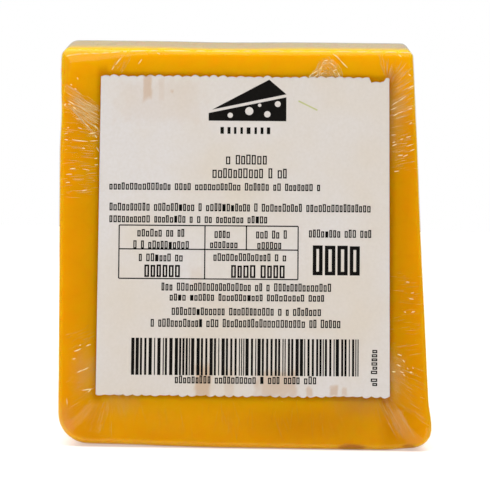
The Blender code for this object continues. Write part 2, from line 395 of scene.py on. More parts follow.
# The film's wrinkles. Each bundle runs from one line to another, both as two pixels of the
# photograph. Sizes are in mm: how thick the pleats are, and how wide and high the soft ridges.
gatherStyle = {
    "thick": (0.01, 0.034), "glare": (0.45, 0.95), "wide": (0.9, 1.6), "high": (0.015, 0.045),
}
fanStyle = {
    "run": (0.12, 0.6), "thick": (0.008, 0.03), "glare": (0.4, 0.9), "ridges": 14, "wide": (0.7, 1.5),
    "high": (0.01, 0.035), "veil": (0.0, 0.008),
}
lowStyle = {
    "pleats": 70, "run": (0.1, 0.45), "thick": (0.006, 0.022), "glare": (0.35, 0.8), "ridges": 14,
    "wide": (0.8, 1.8), "high": (0.012, 0.03), "veil": (0.0, 0.012),
}
bundles = {
    "upperLeftBand": {
        **gatherStyle, "start": ((61, 80), (62, 104)), "end": ((101, 106), (101, 126)), "pleats": 110,
        "run": (0.1, 0.4), "ridges": 12, "veil": (0.02, 0.06),
    },
    "upperLeftGather": {
        **gatherStyle, "start": ((68, 96), (74, 112)), "end": ((101, 107), (101, 133)), "pleats": 120,
        "run": (0.12, 0.5), "thick": (0.01, 0.036), "glare": (0.5, 1.0), "ridges": 10,
        "veil": (0.03, 0.08),
    },
    "upperLeftFall": {
        **gatherStyle, "start": ((64, 99), (71, 109)), "end": ((88, 124), (100, 141)), "pleats": 44,
        "run": (0.08, 0.35), "ridges": 7, "wide": (0.9, 1.8), "high": (0.005, 0.015), "veil": (0.01, 0.04),
    },
    "leftLines": {
        **fanStyle, "start": ((57, 110), (56, 196)), "end": ((101, 112), (101, 194)), "pleats": 120,
        "run": (0.05, 0.35), "glare": (0.4, 0.95), "ridges": 22, "wide": (0.7, 1.6), "veil": (0, 0.01),
    },
    "topLeftLines": {
        **fanStyle, "start": ((106, 76), (122, 76)), "end": ((118, 50), (136, 51)), "pleats": 20,
        "run": (0.15, 0.6), "thick": (0.008, 0.026), "glare": (0.4, 0.8), "ridges": 4, "wide": (0.6, 1.2),
        "high": (0.01, 0.03), "veil": (0, 0.007),
    },
    "cornerFan": {
        **fanStyle, "start": ((385, 77), (391, 88)), "end": ((376, 50), (418, 66)), "pleats": 84,
        "thick": (0.008, 0.028),
    },
    "rightFan": {
        **fanStyle, "start": ((389, 90), (389, 122)), "end": ((420, 68), (421, 112)), "pleats": 96,
    },
    "rightLines": {
        **fanStyle, "start": ((389, 126), (389, 176)), "end": ((422, 118), (422, 170)), "pleats": 66,
        "run": (0.06, 0.4), "thick": (0.008, 0.028), "ridges": 12, "veil": (0.0, 0.006),
    },
    "rightLowLines": {
        **lowStyle, "start": ((389, 272), (389, 360)), "end": ((426, 272), (428, 352)), "pleats": 62,
        "run": (0.08, 0.4), "thick": (0.006, 0.02), "wide": (0.7, 1.6), "high": (0.01, 0.025),
        "veil": (0.0, 0.006),
    },
    "rightLowFall": {
        **lowStyle, "start": ((389, 352), (389, 398)), "end": ((430, 366), (430, 430)),
    },
    "lowRightBand": {
        **lowStyle, "start": ((374, 396), (391, 396)), "end": ((400, 446), (418, 443)), "pleats": 76,
        "run": (0.12, 0.5), "thick": (0.008, 0.026), "glare": (0.35, 0.85), "ridges": 12,
        "wide": (1.0, 2.0), "high": (0.015, 0.04), "veil": (0.005, 0.02),
    },
    "leftLowLines": {
        **lowStyle, "start": ((101, 318), (101, 396)), "end": ((64, 334), (66, 418)), "veil": (0.0, 0.01),
    },
    "lowLeftFan": {
        **lowStyle, "start": ((98, 396), (112, 396)), "end": ((62, 424), (112, 444)), "pleats": 60,
        "run": (0.12, 0.5), "ridges": 12, "wide": (0.9, 2.0), "high": (0.012, 0.035),
    },
    "bottomLines": {
        **lowStyle, "start": ((112, 397), (378, 398)), "end": ((116, 444), (384, 446)), "pleats": 84,
        "run": (0.15, 0.7), "thick": (0.006, 0.014), "glare": (0.3, 0.6), "ridges": 24, "wide": (1.0, 2.6),
        "high": (0.006, 0.014), "veil": (0, 0.004),
    },
}

# Bright short creases, each from one pixel of the photograph to another: whitened film in part, and in part
# painted glints
glints = {
    "upperLeft": (
        ((64, 106), (66, 103.5)), ((69, 101), (75, 105)), ((68, 104), (71, 104.5)), ((73, 107), (76, 109)),
        ((76, 118.4), (81, 119.4)), ((85, 124), (89, 126.5)), ((67, 127.6), (69, 127.2)),
        ((78, 127.3), (82, 128.8)), ((94.5, 125), (98, 129)), ((89, 133.8), (96, 132.8)),
        ((94.5, 135), (97, 138)), ((72, 139.6), (88, 141.4)), ((90, 141), (98, 140.2)),
        ((64, 134), (68, 133)), ((64.5, 139.5), (68, 140)), ((96.5, 147), (99, 152)),
        ((82, 148.2), (85, 148.6)), ((94.5, 158.4), (97.5, 158)), ((94.5, 164.8), (98, 164.3)),
        ((70, 168.6), (75.5, 168.4)), ((82.5, 169), (89.5, 170.4)), ((66, 174.6), (72, 174.2)),
        ((77, 77.5), (78, 79.5)), ((70.5, 84), (72, 85.2)), ((74.5, 88.4), (76.2, 89.6)),
        ((66, 182.6), (70, 182.4)), ((82, 191), (87, 190)),
    ),
    "topLeft": (
        ((115.5, 65), (121.5, 57.5)), ((112, 70), (114.5, 66)), ((138, 64), (142, 59)),
        ((157, 52), (160, 54)),
    ),
    "topRight": (
        ((392.5, 105), (398, 101.4)), ((398, 101.4), (406, 96)), ((390.5, 110), (397, 107.2)),
        ((393, 116), (398, 113.3)), ((397, 113.4), (403, 111.2)), ((408, 89), (416, 84.6)),
        ((409.5, 124), (412, 122.2)), ((391, 135.2), (396, 134.8)), ((400, 139.3), (403.5, 138.6)),
        ((406, 137.4), (411, 136.2)), ((392.5, 142.6), (395.5, 141.8)), ((392, 146), (397, 144)),
        ((406.5, 146.4), (413.5, 144)), ((398, 155.4), (403, 155)), ((403, 156.6), (408, 154.6)),
        ((410, 151), (415, 149)), ((394, 171.6), (399, 170.8)), ((408.5, 74), (411, 76)),
        ((399, 54), (401.5, 57)), ((408, 109.4), (412, 108)),
    ),
    "right": (
        ((406, 282), (409.5, 282.4)), ((411, 293), (414, 292.6)), ((409, 298.6), (414, 299.2)),
        ((411.5, 312.4), (415, 311.6)), ((404, 312), (406, 312.4)),
    ),
    "lowRight": (
        ((397.5, 354), (402, 355.6)), ((402.5, 360), (404.6, 362.4)), ((397, 364.4), (401, 366.4)),
        ((400, 371.6), (404, 373.2)), ((403, 374.6), (405, 376)), ((407, 368), (408.4, 369.4)),
        ((392, 371.4), (395.5, 371.8)), ((409.5, 372), (412.5, 372.4)), ((412.4, 367.4), (413.6, 368.8)),
    ),
    "lowLeft": (
        ((77, 372.6), (82, 370.4)), ((82, 370.6), (88.5, 367.4)), ((86, 346.2), (91, 344.4)),
        ((79, 345.4), (81, 344.8)), ((74, 351.4), (81, 348.6)), ((82, 391), (92, 389.4)),
        ((88, 393), (91, 390)), ((72.5, 359), (75.5, 358.6)), ((66.6, 399), (67.4, 406)),
    ),
    # painted highlight: a row of white rolls along the front's top edge, where light from above reflects off
    # the rounded edge
    "crease": (
        ((61.5, 53.0), (68.5, 49.6)), ((68.5, 49.6), (78, 47.6)), ((80, 47.6), (85, 47.7)),
        ((88, 47.9), (96, 47.8)), ((99, 48.2), (107, 47.5)), ((109, 47.6), (119, 47.0)),
        ((122, 46.9), (126, 46.8)), ((130, 46.5), (147, 46.0)), ((151, 45.8), (158, 45.6)),
        ((164, 45.6), (190, 45.1)), ((196, 45.2), (205, 45.0)), ((212, 45.0), (238, 44.9)),
        ((243, 44.8), (252, 44.9)), ((258, 44.9), (284, 44.9)), ((290, 44.8), (304, 44.9)),
        ((309, 44.9), (331, 44.9)), ((336, 45.0), (352, 45.0)), ((357, 45.1), (368, 45.2)),
        ((370, 45.4), (383, 46.8)), ((385, 47.2), (397, 48.4)), ((400, 48.6), (411, 49.6)),
    ),
    "pocket": (
        ((308.5, 78.5), (311, 74.5)), ((311, 74.5), (317.5, 71)), ((313, 77.5), (318.5, 74)),
        ((319.5, 69.5), (322.5, 65.5)), ((324, 61), (328, 60)), ((330.5, 63), (334, 66)),
        ((333, 71), (337, 69.5)), ((338, 73), (340, 77)),
    ),
    "scratch": (
        ((333.5, 53.6), (340.5, 60.5)), ((340.5, 60.5), (347.5, 67.8)),
    ),
}
glintForm = {"thick": (0.08, 0.14), "glare": (0.9, 1.0)}

# The pocket of air under the film above the label
airPocket = {
    "middle": (325.5, 81.0), "wide": 17.5, "high": 23.5, "veil": 0.22,
    "rims": ((1.0, 0.8), (0.93, 1.0), (0.8, 0.9), (0.62, 1.0), (0.45, 0.8)),  # share of the way out, glare
    "rimThick": 0.040, "creases": 120, "creaseThick": (0.015, 0.045), "glare": (0.4, 1.0),
    "rise": (0.12, 0.05),  # how far the film stands off in mm, and how unevenly
    "flat": (2.40, 0.50, 0.27),  # the turn of its flatter side, how far that reaches, and by how much
}

# Wrinkles that the photograph doesn't show, on the sides, the top and the back: lines as
# (x, z) in mm on the front face, past whose edges they run round the block
sideStyle = {
    "pleats": 70, "run": (0.08, 0.5), "thick": (0.01, 0.032), "glare": (0.35, 0.9), "ridges": 22,
    "wide": (0.9, 2.2), "high": (0.01, 0.04), "veil": (0.0, 0.07),
}
hiddenBundles = {
    "leftSide": {
        **sideStyle, "start": ((-45, 8), (-46, 88)), "end": ((-74, 8), (-76, 90)),
    },
    "rightSide": {
        **sideStyle, "start": ((44, 6), (41, 88)), "end": ((74, 6), (70, 90)),
    },
    "top": {
        **sideStyle, "start": ((-40, 94), (36, 94)), "end": ((-38, 120), (34, 120)), "pleats": 40,
        "run": (0.1, 0.5), "thick": (0.01, 0.026), "glare": (0.35, 0.8), "ridges": 26,
    },
}

# Wrinkles on the back, round the sealed ends: lines as (x, z) in mm
backStyle = {
    "pleats": 50, "run": (0.15, 0.7), "thick": (0.01, 0.032), "glare": (0.35, 0.9), "ridges": 16,
    "wide": (0.9, 2.4), "high": (0.02, 0.07), "veil": (0.0, 0.04),
}
backBundles = {
    "topFlap": {
        **backStyle, "start": ((-31, 91), (25, 91)), "end": ((-15, 67), (11, 68)), "pleats": 60,
        "run": (0.1, 0.7), "ridges": 18, "high": (0.01, 0.04), "veil": (0.0, 0.03),
    },
    "footFlap": {
        **backStyle, "start": ((-32, 5), (32, 5)), "end": ((-16, 30), (11, 29)), "pleats": 70,
        "run": (0.1, 0.7), "ridges": 18, "high": (0.01, 0.04), "veil": (0.0, 0.03),
    },
    "aboveLeft": {
        **backStyle, "start": ((-16, 66), (-24, 78)), "end": ((-42, 60), (-43, 90)),
    },
    "aboveRight": {
        **backStyle, "start": ((13, 66), (20, 78)), "end": ((40, 58), (38, 90)),
    },
    "belowLeft": {
        **backStyle, "start": ((-17, 31), (-28, 14)), "end": ((-43, 38), (-43, 6)),
    },
    "belowRight": {
        **backStyle, "start": ((12, 30), (26, 12)), "end": ((43, 38), (43, 6)),
    },
    "across": {
        **backStyle, "start": ((-42, 40), (-42, 62)), "end": ((41, 40), (41, 62)), "pleats": 60,
        "run": (0.06, 0.3), "thick": (0.01, 0.028), "ridges": 20, "high": (0.01, 0.05),
        "veil": (0.0, 0.03),
    },
}


def pixelPlace(spot):
    return np.array(frontPlace(*spot))


def millimetrePlace(spot):
    return np.array(spot) * mm


def straightLine(start, end, bow):
    # a chain of (x, z) places, bent sideways by bow in the middle
    length = np.linalg.norm(end - start)
    along = np.linspace(0, 1, max(4, round(length / (0.8 * mm))) + 1)[:, None]
    aside = np.array((start[1] - end[1], end[0] - start[0])) / max(length, 0.1 * mm)
    return start + (end - start) * along + aside * bow * 4 * along * (1 - along)


def bundleLines(bundle, count, draw, place):
    # random stretches of a bundle's runs from its start line to its end line
    corners = [place(spot) for spot in (*bundle["start"], *bundle["end"])]
    lines = []
    for _ in range(count):
        side, length = draw.random(), draw.uniform(*bundle["run"])
        begin = draw.uniform(0, 1 - length)
        near = corners[0] + (corners[1] - corners[0]) * side
        side += draw.uniform(-0.06, 0.06)
        far = corners[2] + (corners[3] - corners[2]) * side
        ends = (near + (far - near) * begin, near + (far - near) * (begin + length))
        lines.append(straightLine(*ends, draw.uniform(-0.04, 0.04) * np.linalg.norm(far - near) * length))
    return lines


def onBlock(line):
    return shapeBlock(wrapFront(line[:, 0], line[:, 1]))


def onBack(line):
    plain = wrapFront(line[:, 0], line[:, 1])
    plain[:, 1] = half[1]
    return shapeBlock(plain)


def bundleRuns(wanted, draw):
    # each bundle with each of its wanted lines, laid on the block
    for group, place, lay in ((bundles, pixelPlace, onBlock), (hiddenBundles, millimetrePlace, onBlock),
                              (backBundles, millimetrePlace, onBack)):
        for bundle in group.values():
            for line in bundleLines(bundle, bundle[wanted], draw, place):
                yield bundle, lay(line)


def mostlyLow(limits, draw):
    low, high = limits
    return low + (high - low) * draw.random() ** 2


def allPleats():
    # every pleat as its chain of points, its thickness and how white it is, which is partly a painted glint
    draw = random.Random(31)
    pleats = []
    for bundle, line in bundleRuns("pleats", draw):
        glare = mostlyLow(bundle["glare"], draw)
        pleats.append((line, draw.uniform(*bundle["thick"]) * mm, glare))
    for marks in glints.values():
        for start, end in marks:
            line = straightLine(pixelPlace(start), pixelPlace(end), draw.uniform(-0.06, 0.06) * mm)
            pleats.append((onBlock(line), draw.uniform(*glintForm["thick"]) * mm,
                           draw.uniform(*glintForm["glare"])))
    return pleats + pocketPleats(draw)


def pocketReach(turn):
    # the dome's outline over a true half ellipse, lower on one side
    middle, reach, depth = airPocket["flat"]
    return 1 - depth * np.exp(-((turn - middle) / reach) ** 2)


def pocketOutline(turn, share):
    # a pixel of the pocket's dome: turn goes round it, share goes out from its middle
    x, y = airPocket["middle"]
    share = share * pocketReach(turn)
    return (x + airPocket["wide"] * share * math.cos(turn), y - airPocket["high"] * share * math.sin(turn))


def pocketPleats(draw):
    # crumpled film: broken rims, and short creases that mostly follow them
    pleats = []
    for share, glare in airPocket["rims"]:
        for _ in range(7):
            start, length = draw.uniform(0, math.pi), draw.uniform(0.2, 0.7)
            turns = [min(math.pi, start + length * n / 8) for n in range(9)]
            ring = [pixelPlace(pocketOutline(turn, share * (1 + draw.uniform(-0.05, 0.05))))
                    for turn in turns]
            pleats.append((onBlock(np.array(ring)), airPocket["rimThick"] * draw.uniform(0.6, 1.5) * mm,
                           glare * draw.uniform(0.5, 1.0)))
    for _ in range(airPocket["creases"]):
        turn, share = draw.uniform(0.05, math.pi - 0.05), draw.uniform(0.1, 0.97)
        middle = pixelPlace(pocketOutline(turn, share))
        heading, length = turn + math.pi / 2 + draw.gauss(0, 0.5), draw.uniform(0.4, 1.5) * mm
        reach = np.array((math.cos(heading), math.sin(heading))) * length / 2
        line = straightLine(middle - reach, middle + reach, draw.uniform(-0.2, 0.2) * length)
        pleats.append((onBlock(line), draw.uniform(*airPocket["creaseThick"]) * mm,
                       mostlyLow(airPocket["glare"], draw)))
    return pleats


def allRidges():
    # the broad soft ridges: chain of points, width, height and how cloudy the film is along it
    draw = random.Random(47)
    return [(line, draw.uniform(*bundle["wide"]) * mm, draw.uniform(*bundle["high"]) * mm,
             draw.uniform(*bundle["veil"])) for bundle, line in bundleRuns("ridges", draw)]


def nearLine(points, line):
    # each point's distance from a chain of points, and its place along it from 0 to 1
    best, share = np.full(len(points), np.inf), np.zeros(len(points))
    count = len(line) - 1
    for n in range(count):
        run = line[n + 1] - line[n]
        along = np.clip((points - line[n]) @ run / max(run @ run, 1e-12), 0, 1)
        gap = np.linalg.norm(points - line[n] - along[:, None] * run, axis=1)
        closer = gap < best
        best[closer], share[closer] = gap[closer], ((n + along) / count)[closer]
    return best, share


def waves(points, size, seed):
    # a smooth random field of about -1 to 1, with waves of about this size
    draw = np.random.default_rng(seed)
    total = np.zeros(len(points))
    for _ in range(10):
        heading = draw.normal(size=points.shape[1])
        heading *= 2 * np.pi / (size * draw.uniform(0.6, 1.6)) / np.linalg.norm(heading)
        total += np.sin(points @ heading + draw.uniform(0, 2 * np.pi))
    return total / 4.5


# The film: a closed skin round the whole block
filmForm = {
    "spacing": 0.9 * mm,
    "depthSpacing": 1.6 * mm,
    "gathers": (  # the solid's folded gathers: ends as (x, z), full width, height
        ((-0.0430, 0.0805), (-0.0355, 0.0735), 0.0060, 0.00040),
        ((0.0350, 0.0890), (0.0385, 0.0905), 0.0045, 0.00025),
        ((0.0352, 0.0790), (0.0398, 0.0815), 0.0045, 0.00030),
        ((0.0362, 0.0098), (0.0400, 0.0022), 0.0056, 0.00045),
        ((-0.0362, 0.0102), (-0.0400, 0.0060), 0.0048, 0.00025),
    ),
    "slack": 0.012 * mm,
    "singleFilm": (2.5 * mm, 14.0 * mm),  # from the front edge to the overlap, and how softly it starts
    "shadeRight": (2.4 * mm, 0.48),  # painted shade beside the label: how far it reaches, and its strength
    # the same painted shade on the label's left, and above and below it
    "shadeLeft": (1.4 * mm, 0.38),
    "shadeEnds": (1.0 * mm, 0.35),
    "shadePast": (0.30, 0.55),  # painted shade on the sides and the back, and on the underside
    "shade": (14 * mm, 0.10, 0.21),  # broad painted shade beside the label: how far it reaches, and its strength left and right
    # dark folds at the foot, drawn only as painted shade: middle and half sizes in pixels, strength
    "footFoldShade": (((352, 448.5), 18, 5.2, 0.8), ((409, 447), 9, 3.6, 0.75)),
    # fine creasing that clouds the film: middle and half sizes in pixels, how milky, and how dark as painted
    # shade
    "hazesAndShade": (
        ((394, 118), 18, 60, 0.085, 0.0), ((310, 424), 105, 30, 0.0, 0.24), ((394, 376), 16, 34, 0.15, 0.04),
        ((122, 400), 26, 22, 0.07, 0.08), ((362, 402), 46, 24, 0.055, 0.26), ((65, 424), 13, 30, 0.11, 0.12),
        ((84, 372), 20, 34, 0.085, 0.04),
    ),
}
cheeseForm = {"spacing": 1.5 * mm, "depthSpacing": 2.2 * mm, "inside": 0.16 * mm, "uneven": 0.02 * mm}


def inFrontMargin(centre):
    hidden = abs(centre.x) < 31 * mm and 14 * mm - half[2] < centre.z < half[2] - 9 * mm
    return centre.y < 1.5 * mm - half[1] and not hidden


def underLabel(points):
    # 1 well under the label, falling to 0 at its edges
    aside = (np.abs(points[:, 0] - labelForm["centre"][0]) - labelForm["bottomWidth"] / 2) / mm
    above = (np.abs(points[:, 2] - labelForm["centre"][1]) - labelForm["height"] / 2) / mm
    inside = softStep((np.maximum(aside, above) + 1.6) / 1.4)
    return np.where(points[:, 1] < 0, inside, 0.0)


def ovalReach(points, middle, halfWide, halfHigh):
    # 0 in the middle of an oval on the front, and 1 at its edge
    centre, edge = pixelPlace(middle), pixelPlace((middle[0] + halfWide, middle[1]))
    top = pixelPlace((middle[0], middle[1] - halfHigh))
    return np.hypot((points[:, 0] - centre[0]) / (edge[0] - centre[0]),
                    (points[:, 2] - centre[1]) / (top[1] - centre[1]))


def filmRelief(points, normals):
    # how far the film stands off the block, and how cloudy it is, at each point
    rise = filmForm["slack"] * waves(points, 5 * mm, 3)
    clear = np.ones(len(points))
    for line, wide, high, veil in allRidges():
        near = np.all((points > line.min(0) - wide) & (points < line.max(0) + wide), axis=1).nonzero()[0]
        gap, share = nearLine(points[near], line)
        strength = softStep(gap / (wide / 2)) * np.sin(np.pi * np.clip(share, 0.02, 0.98)) ** 0.6
        rise[near] += high * strength
        haze = softStep(gap / (wide * 0.9)) * np.sin(np.pi * np.clip(share, 0.02, 0.98)) ** 0.6
        clear[near] *= 1 - veil * haze
    fold = np.zeros(len(points))
    for start, end, wide, high in filmForm["gathers"]:
        line = np.array((start, end))
        gap, _ = nearLine(points[:, [0, 2]], line)
        fold = np.maximum(fold, high * softStep(gap / (wide / 2)))
    rise += fold * softStep((normals[:, 1] + 0.98) / 0.25)
    middle, rimX = pixelPlace(airPocket["middle"]), pixelPlace(pocketOutline(0, 1))
    top = pixelPlace(pocketOutline(math.pi / 2, 1))
    aside = (points[:, 0] - middle[0]) / (rimX[0] - middle[0])
    above = (points[:, 2] - middle[1]) / (top[1] - middle[1])
    reach = np.hypot(aside, above) / pocketReach(np.arctan2(above, aside))
    reach *= 1 + 0.07 * waves(points, 2.2 * mm, 21)
    inPocket = np.where(points[:, 1] < 0, softStep((reach - 0.85) / 0.2), 0.0)
    high, uneven = airPocket["rise"]
    rise += (high + uneven * waves(points, 2.0 * mm, 22)) * mm * inPocket
    cloudy = np.clip(0.55 + 0.45 * waves(points, 1.5 * mm, 5), 0.1, 1.3)
    clear *= 1 - airPocket["veil"] * inPocket * cloudy
    streaks = 1 + 0.45 * waves(points * (1, 1, 0.35), 1.6 * mm, 31)
    for middle, halfWide, halfHigh, milky, _ in filmForm["hazesAndShade"]:
        haze = softStep(ovalReach(points, middle, halfWide, halfHigh)) * streaks * (points[:, 1] < 0)
        clear *= 1 - np.clip(milky * haze, 0, 1)
    return rise * (1 - underLabel(points)), (1 - clear) * (1 - underLabel(points))


def stretchFilm():
    # clear PVC stretch film: glossy, darker where shade is painted into it, milky where it is wrinkled
    film, tree = newMaterial("stretchFilm")
    facing = addNode(tree, "ShaderNodeLayerWeight", {}, {"Blend": 0.5})
    grazing = addNode(tree, "ShaderNodeMath", {"operation": "POWER"}, {0: facing.outputs["Facing"], 1: 5.0})
    gloss = addNode(tree, "ShaderNodeMath", {"operation": "MULTIPLY_ADD"}, {0: grazing, 1: 0.36, 2: 0.018})
    gloss = addNode(tree, "ShaderNodeMath", {"operation": "MINIMUM"}, {0: gloss, 1: 0.06})
    layers = addNode(tree, "ShaderNodeAttribute", {"attribute_name": "layers"}, {})
    slanting = addNode(tree, "ShaderNodeMath", {"operation": "POWER"},
                       {0: facing.outputs["Facing"], 1: 2.0})
    more = addNode(tree, "ShaderNodeMath", {"operation": "MULTIPLY"},
                   {0: slanting, 1: layers.outputs["Fac"]})
    gloss = addNode(tree, "ShaderNodeMath", {"operation": "MULTIPLY_ADD"}, {0: more, 1: 0.88, 2: gloss})
    # painted shade: this attribute darkens the film's see-through colour towards C8B27C
    dampAndPaintedShade = addNode(tree, "ShaderNodeAttribute", {"attribute_name": "dampAndPaintedShade"}, {})
    paintedShadeTint = addNode(tree, "ShaderNodeMix", {"data_type": "RGBA"},
                   {0: dampAndPaintedShade.outputs["Fac"], 6: linear("FFFDF8"), 7: linear("C8B27C")})
    clear = addNode(tree, "ShaderNodeBsdfTransparent", {}, {"Color": paintedShadeTint.outputs[2]})
    shine = addNode(tree, "ShaderNodeBsdfGlossy", {}, {"Color": linear("FFFFFF"), "Roughness": 0.10})
    glossy = addNode(tree, "ShaderNodeMixShader", {}, {0: gloss, 1: clear, 2: shine})
    veil = addNode(tree, "ShaderNodeAttribute", {"attribute_name": "veil"}, {})
    milky = addNode(tree, "ShaderNodeBsdfDiffuse", {}, {"Color": linear("F4DDA4")})
    both = addNode(tree, "ShaderNodeMixShader", {}, {0: veil.outputs["Fac"], 1: glossy, 2: milky})
    finishMaterial(tree, both)
    return film


def paintedShade(points, normals):
    # painted shade: how darkly the film shows, beside the label, most of all on its right, and past the
    # front's edges
    across = points[:, 0] - labelForm["centre"][0]
    gapX = np.abs(across) - labelForm["bottomWidth"] / 2
    gapZ = np.abs(points[:, 2] - labelForm["centre"][1]) - labelForm["height"] / 2
    (leftReach, left), (rightReach, right) = filmForm["shadeLeft"], filmForm["shadeRight"]
    side = softStep(gapX / np.where(across > 0, rightReach, leftReach)) * (gapX > -1.5 * mm)
    side *= softStep(gapZ / (3 * mm))
    side *= np.where(across > 0, right, left)
    reach, left, right = filmForm["shade"]
    below = points[:, 2] - labelForm["centre"][1] - labelForm["height"] / 2 + 12 * mm
    broad = softStep(gapX / reach) * softStep(below / (10 * mm)) * (1 - softStep((gapX + 3 * mm) / (3 * mm)))
    side = np.maximum(side, broad * np.where(across > 0, right, left))
    reach, strength = filmForm["shadeEnds"]
    ends = strength * softStep(gapZ / reach) * (gapZ > -1.5 * mm) * softStep(gapX / (1 * mm))
    dark = np.maximum(side, ends)
    # painted shade from the hazes' dark column, and at the folds of the foot
    for middle, halfWide, halfHigh, _, darker in filmForm["hazesAndShade"]:
        dark = dark + darker * softStep(ovalReach(points, middle, halfWide, halfHigh))
    for middle, halfWide, halfHigh, strength in filmForm["footFoldShade"]:
        away = ovalReach(points, middle, halfWide, halfHigh)
        dark = np.maximum(dark, strength * softStep((away - 0.55) / 0.5))
    # painted shade on the sides, the back and the underside
    sides, foot = filmForm["shadePast"]
    past = np.maximum(sides * np.maximum(np.abs(normals[:, 0]), normals[:, 1]), -foot * normals[:, 2])
    return np.maximum(np.where(points[:, 1] < 0, dark, 0.0), 1.15 * past - 0.15 * sides)


def filmLayers(plain):
    # 1 where the wrap overlaps itself on the top, from a little behind the front edge
    behind = (plain[:, 1] + half[1] - filmForm["singleFilm"][0]) / filmForm["singleFilm"][1]
    return np.where(plain[:, 2] > half[2] - 0.5 * mm, 1 - softStep(behind), 0.0)


def makeFilm(material):
    plain, faces = boxGrid(filmForm["spacing"], filmForm["depthSpacing"])
    plain, faces = refine(plain, faces, inFrontMargin, 1)
    points = shapeBlock(plain)
    normals = surfaceNormals(points, faces)
    rise, veil = filmRelief(points, normals)
    points += normals * (swelling(points) + rise)[:, None] + toFrame
    points = np.clip(points, np.array(cadLow), np.array(cadHigh))
    # the film carries its milky veil, its painted shade and the wrap's overlap as point attributes
    film = newPiece("film", points, faces, material, {
        "veil": veil, "dampAndPaintedShade": paintedShade(shapeBlock(plain), normals), "layers": filmLayers(plain)})
    return film, BVHTree.FromPolygons([tuple(p) for p in points], faces)


def pleatTree(material):
    # threads of points become little tapered rolls of film
    tree = bpy.data.node_groups.new("pleatRolls", "GeometryNodeTree")
    tree.interface.new_socket("Geometry", in_out="INPUT", socket_type="NodeSocketGeometry")
    tree.interface.new_socket("Sides", in_out="INPUT", socket_type="NodeSocketInt")
    tree.interface.new_socket("Fullness", in_out="INPUT", socket_type="NodeSocketFloat")
    tree.interface.new_socket("Geometry", in_out="OUTPUT", socket_type="NodeSocketGeometry")
    given = addNode(tree, "NodeGroupInput", {}, {})
    threads = addNode(tree, "GeometryNodeMeshToCurve", {}, {"Mesh": given.outputs["Geometry"]})
    ring = addNode(tree, "GeometryNodeCurvePrimitiveCircle", {},
                   {"Resolution": given.outputs["Sides"], "Radius": 1.0})
    thick = addNode(tree, "GeometryNodeInputNamedAttribute", {"data_type": "FLOAT"}, {"Name": "thick"})
    scale = addNode(tree, "ShaderNodeMath", {"operation": "MULTIPLY"},
                    {0: thick.outputs["Attribute"], 1: given.outputs["Fullness"]})
    rolls = addNode(tree, "GeometryNodeCurveToMesh", {}, {
        "Curve": threads, "Profile Curve": ring, "Scale": scale, "Fill Caps": True})
    smooth = addNode(tree, "GeometryNodeSetShadeSmooth", {}, {"Geometry": rolls})
    real = addNode(tree, "GeometryNodeRealizeInstances", {}, {"Geometry": smooth})
    done = addNode(tree, "GeometryNodeSetMaterial", {}, {"Geometry": real, "Material": material})
    addNode(tree, "NodeGroupOutput", {}, {"Geometry": done})
    return tree


def runTree(name, tree, start, settings):
    # what a geometry node tree makes of a mesh, as a plain mesh
    carrier = placeObject(name, start)
    modifier = carrier.modifiers.new("nodes", "NODES")
    modifier.node_group = tree
    for item in tree.interface.items_tree:
        if item.in_out == "INPUT" and item.name in settings:
            modifier[item.identifier] = settings[item.name]
    return evaluatedMesh(carrier, name)


pleatForm = {"sides": 6, "fullness": 1.0, "sunk": 0.35, "tip": 0.12, "taper": 0.7}


def pleatedFilm():
    # film rolled into a crease: from a faint milky line to a white glint, whose cream white is partly a
    # painted highlight
    film, tree = newMaterial("pleatedFilm")
    glare = addNode(tree, "ShaderNodeAttribute", {"attribute_name": "glare"}, {})
    clear = addNode(tree, "ShaderNodeBsdfTransparent", {}, {"Color": linear("FFFBF2")})
    shine = addNode(tree, "ShaderNodeBsdfGlossy", {}, {"Color": linear("FFFFFF"), "Roughness": 0.16})
    glossy = addNode(tree, "ShaderNodeMixShader", {}, {0: 0.05, 1: clear, 2: shine})
    warm = addNode(tree, "ShaderNodeMapRange", {},
                   {0: glare.outputs["Fac"], 1: 0.3, 2: 0.8, 3: 0.0, 4: 1.0})
    pale = addNode(tree, "ShaderNodeMix", {"data_type": "RGBA"},
                   {0: warm, 6: linear("FFC85A"), 7: linear("FFF3B8")})
    # painted highlight in part: the diffuse cream white of high-glare creases stands in for glints
    milky = addNode(tree, "ShaderNodeBsdfDiffuse", {}, {"Color": pale.outputs[2]})
    sparkle = addNode(tree, "ShaderNodeBsdfGlossy", {}, {"Color": linear("FFF4B4"), "Roughness": 0.28})
    bright = addNode(tree, "ShaderNodeMixShader", {}, {0: 0.45, 1: milky, 2: sparkle})
    both = addNode(tree, "ShaderNodeMixShader", {}, {0: glare.outputs["Fac"], 1: glossy, 2: bright})
    finishMaterial(tree, both)
    return film


def makePleats(filmSurface, material):
    points, edges, thick, glare = [], [], [], []
    for line, size, white in allPleats():
        first, count = len(points), len(line) - 1
        for n, point in enumerate(line):
            taper = max(pleatForm["tip"], math.sin(math.pi * n / count)) ** pleatForm["taper"]
            spot, normal, _, _ = filmSurface.find_nearest(Vector(point) + Vector(toFrame))
            spot -= normal * size * taper * pleatForm["sunk"]
            spot.y = max(spot.y, cadLow.y + size)
            points.append(spot)
            thick.append(size * taper)
            glare.append(white)
        edges += [(first + n, first + n + 1) for n in range(count)]
    threads = bpy.data.meshes.new("threads")
    threads.from_pydata(points, edges, [])
    for name, values in (("thick", thick), ("glare", glare)):
        threads.attributes.new(name, "FLOAT", "POINT").data.foreach_set("value", values)
    mesh = runTree("film_pleats", pleatTree(material), threads,
                   {"Sides": pleatForm["sides"], "Fullness": pleatForm["fullness"]})
    return placeObject("film_pleats", mesh)


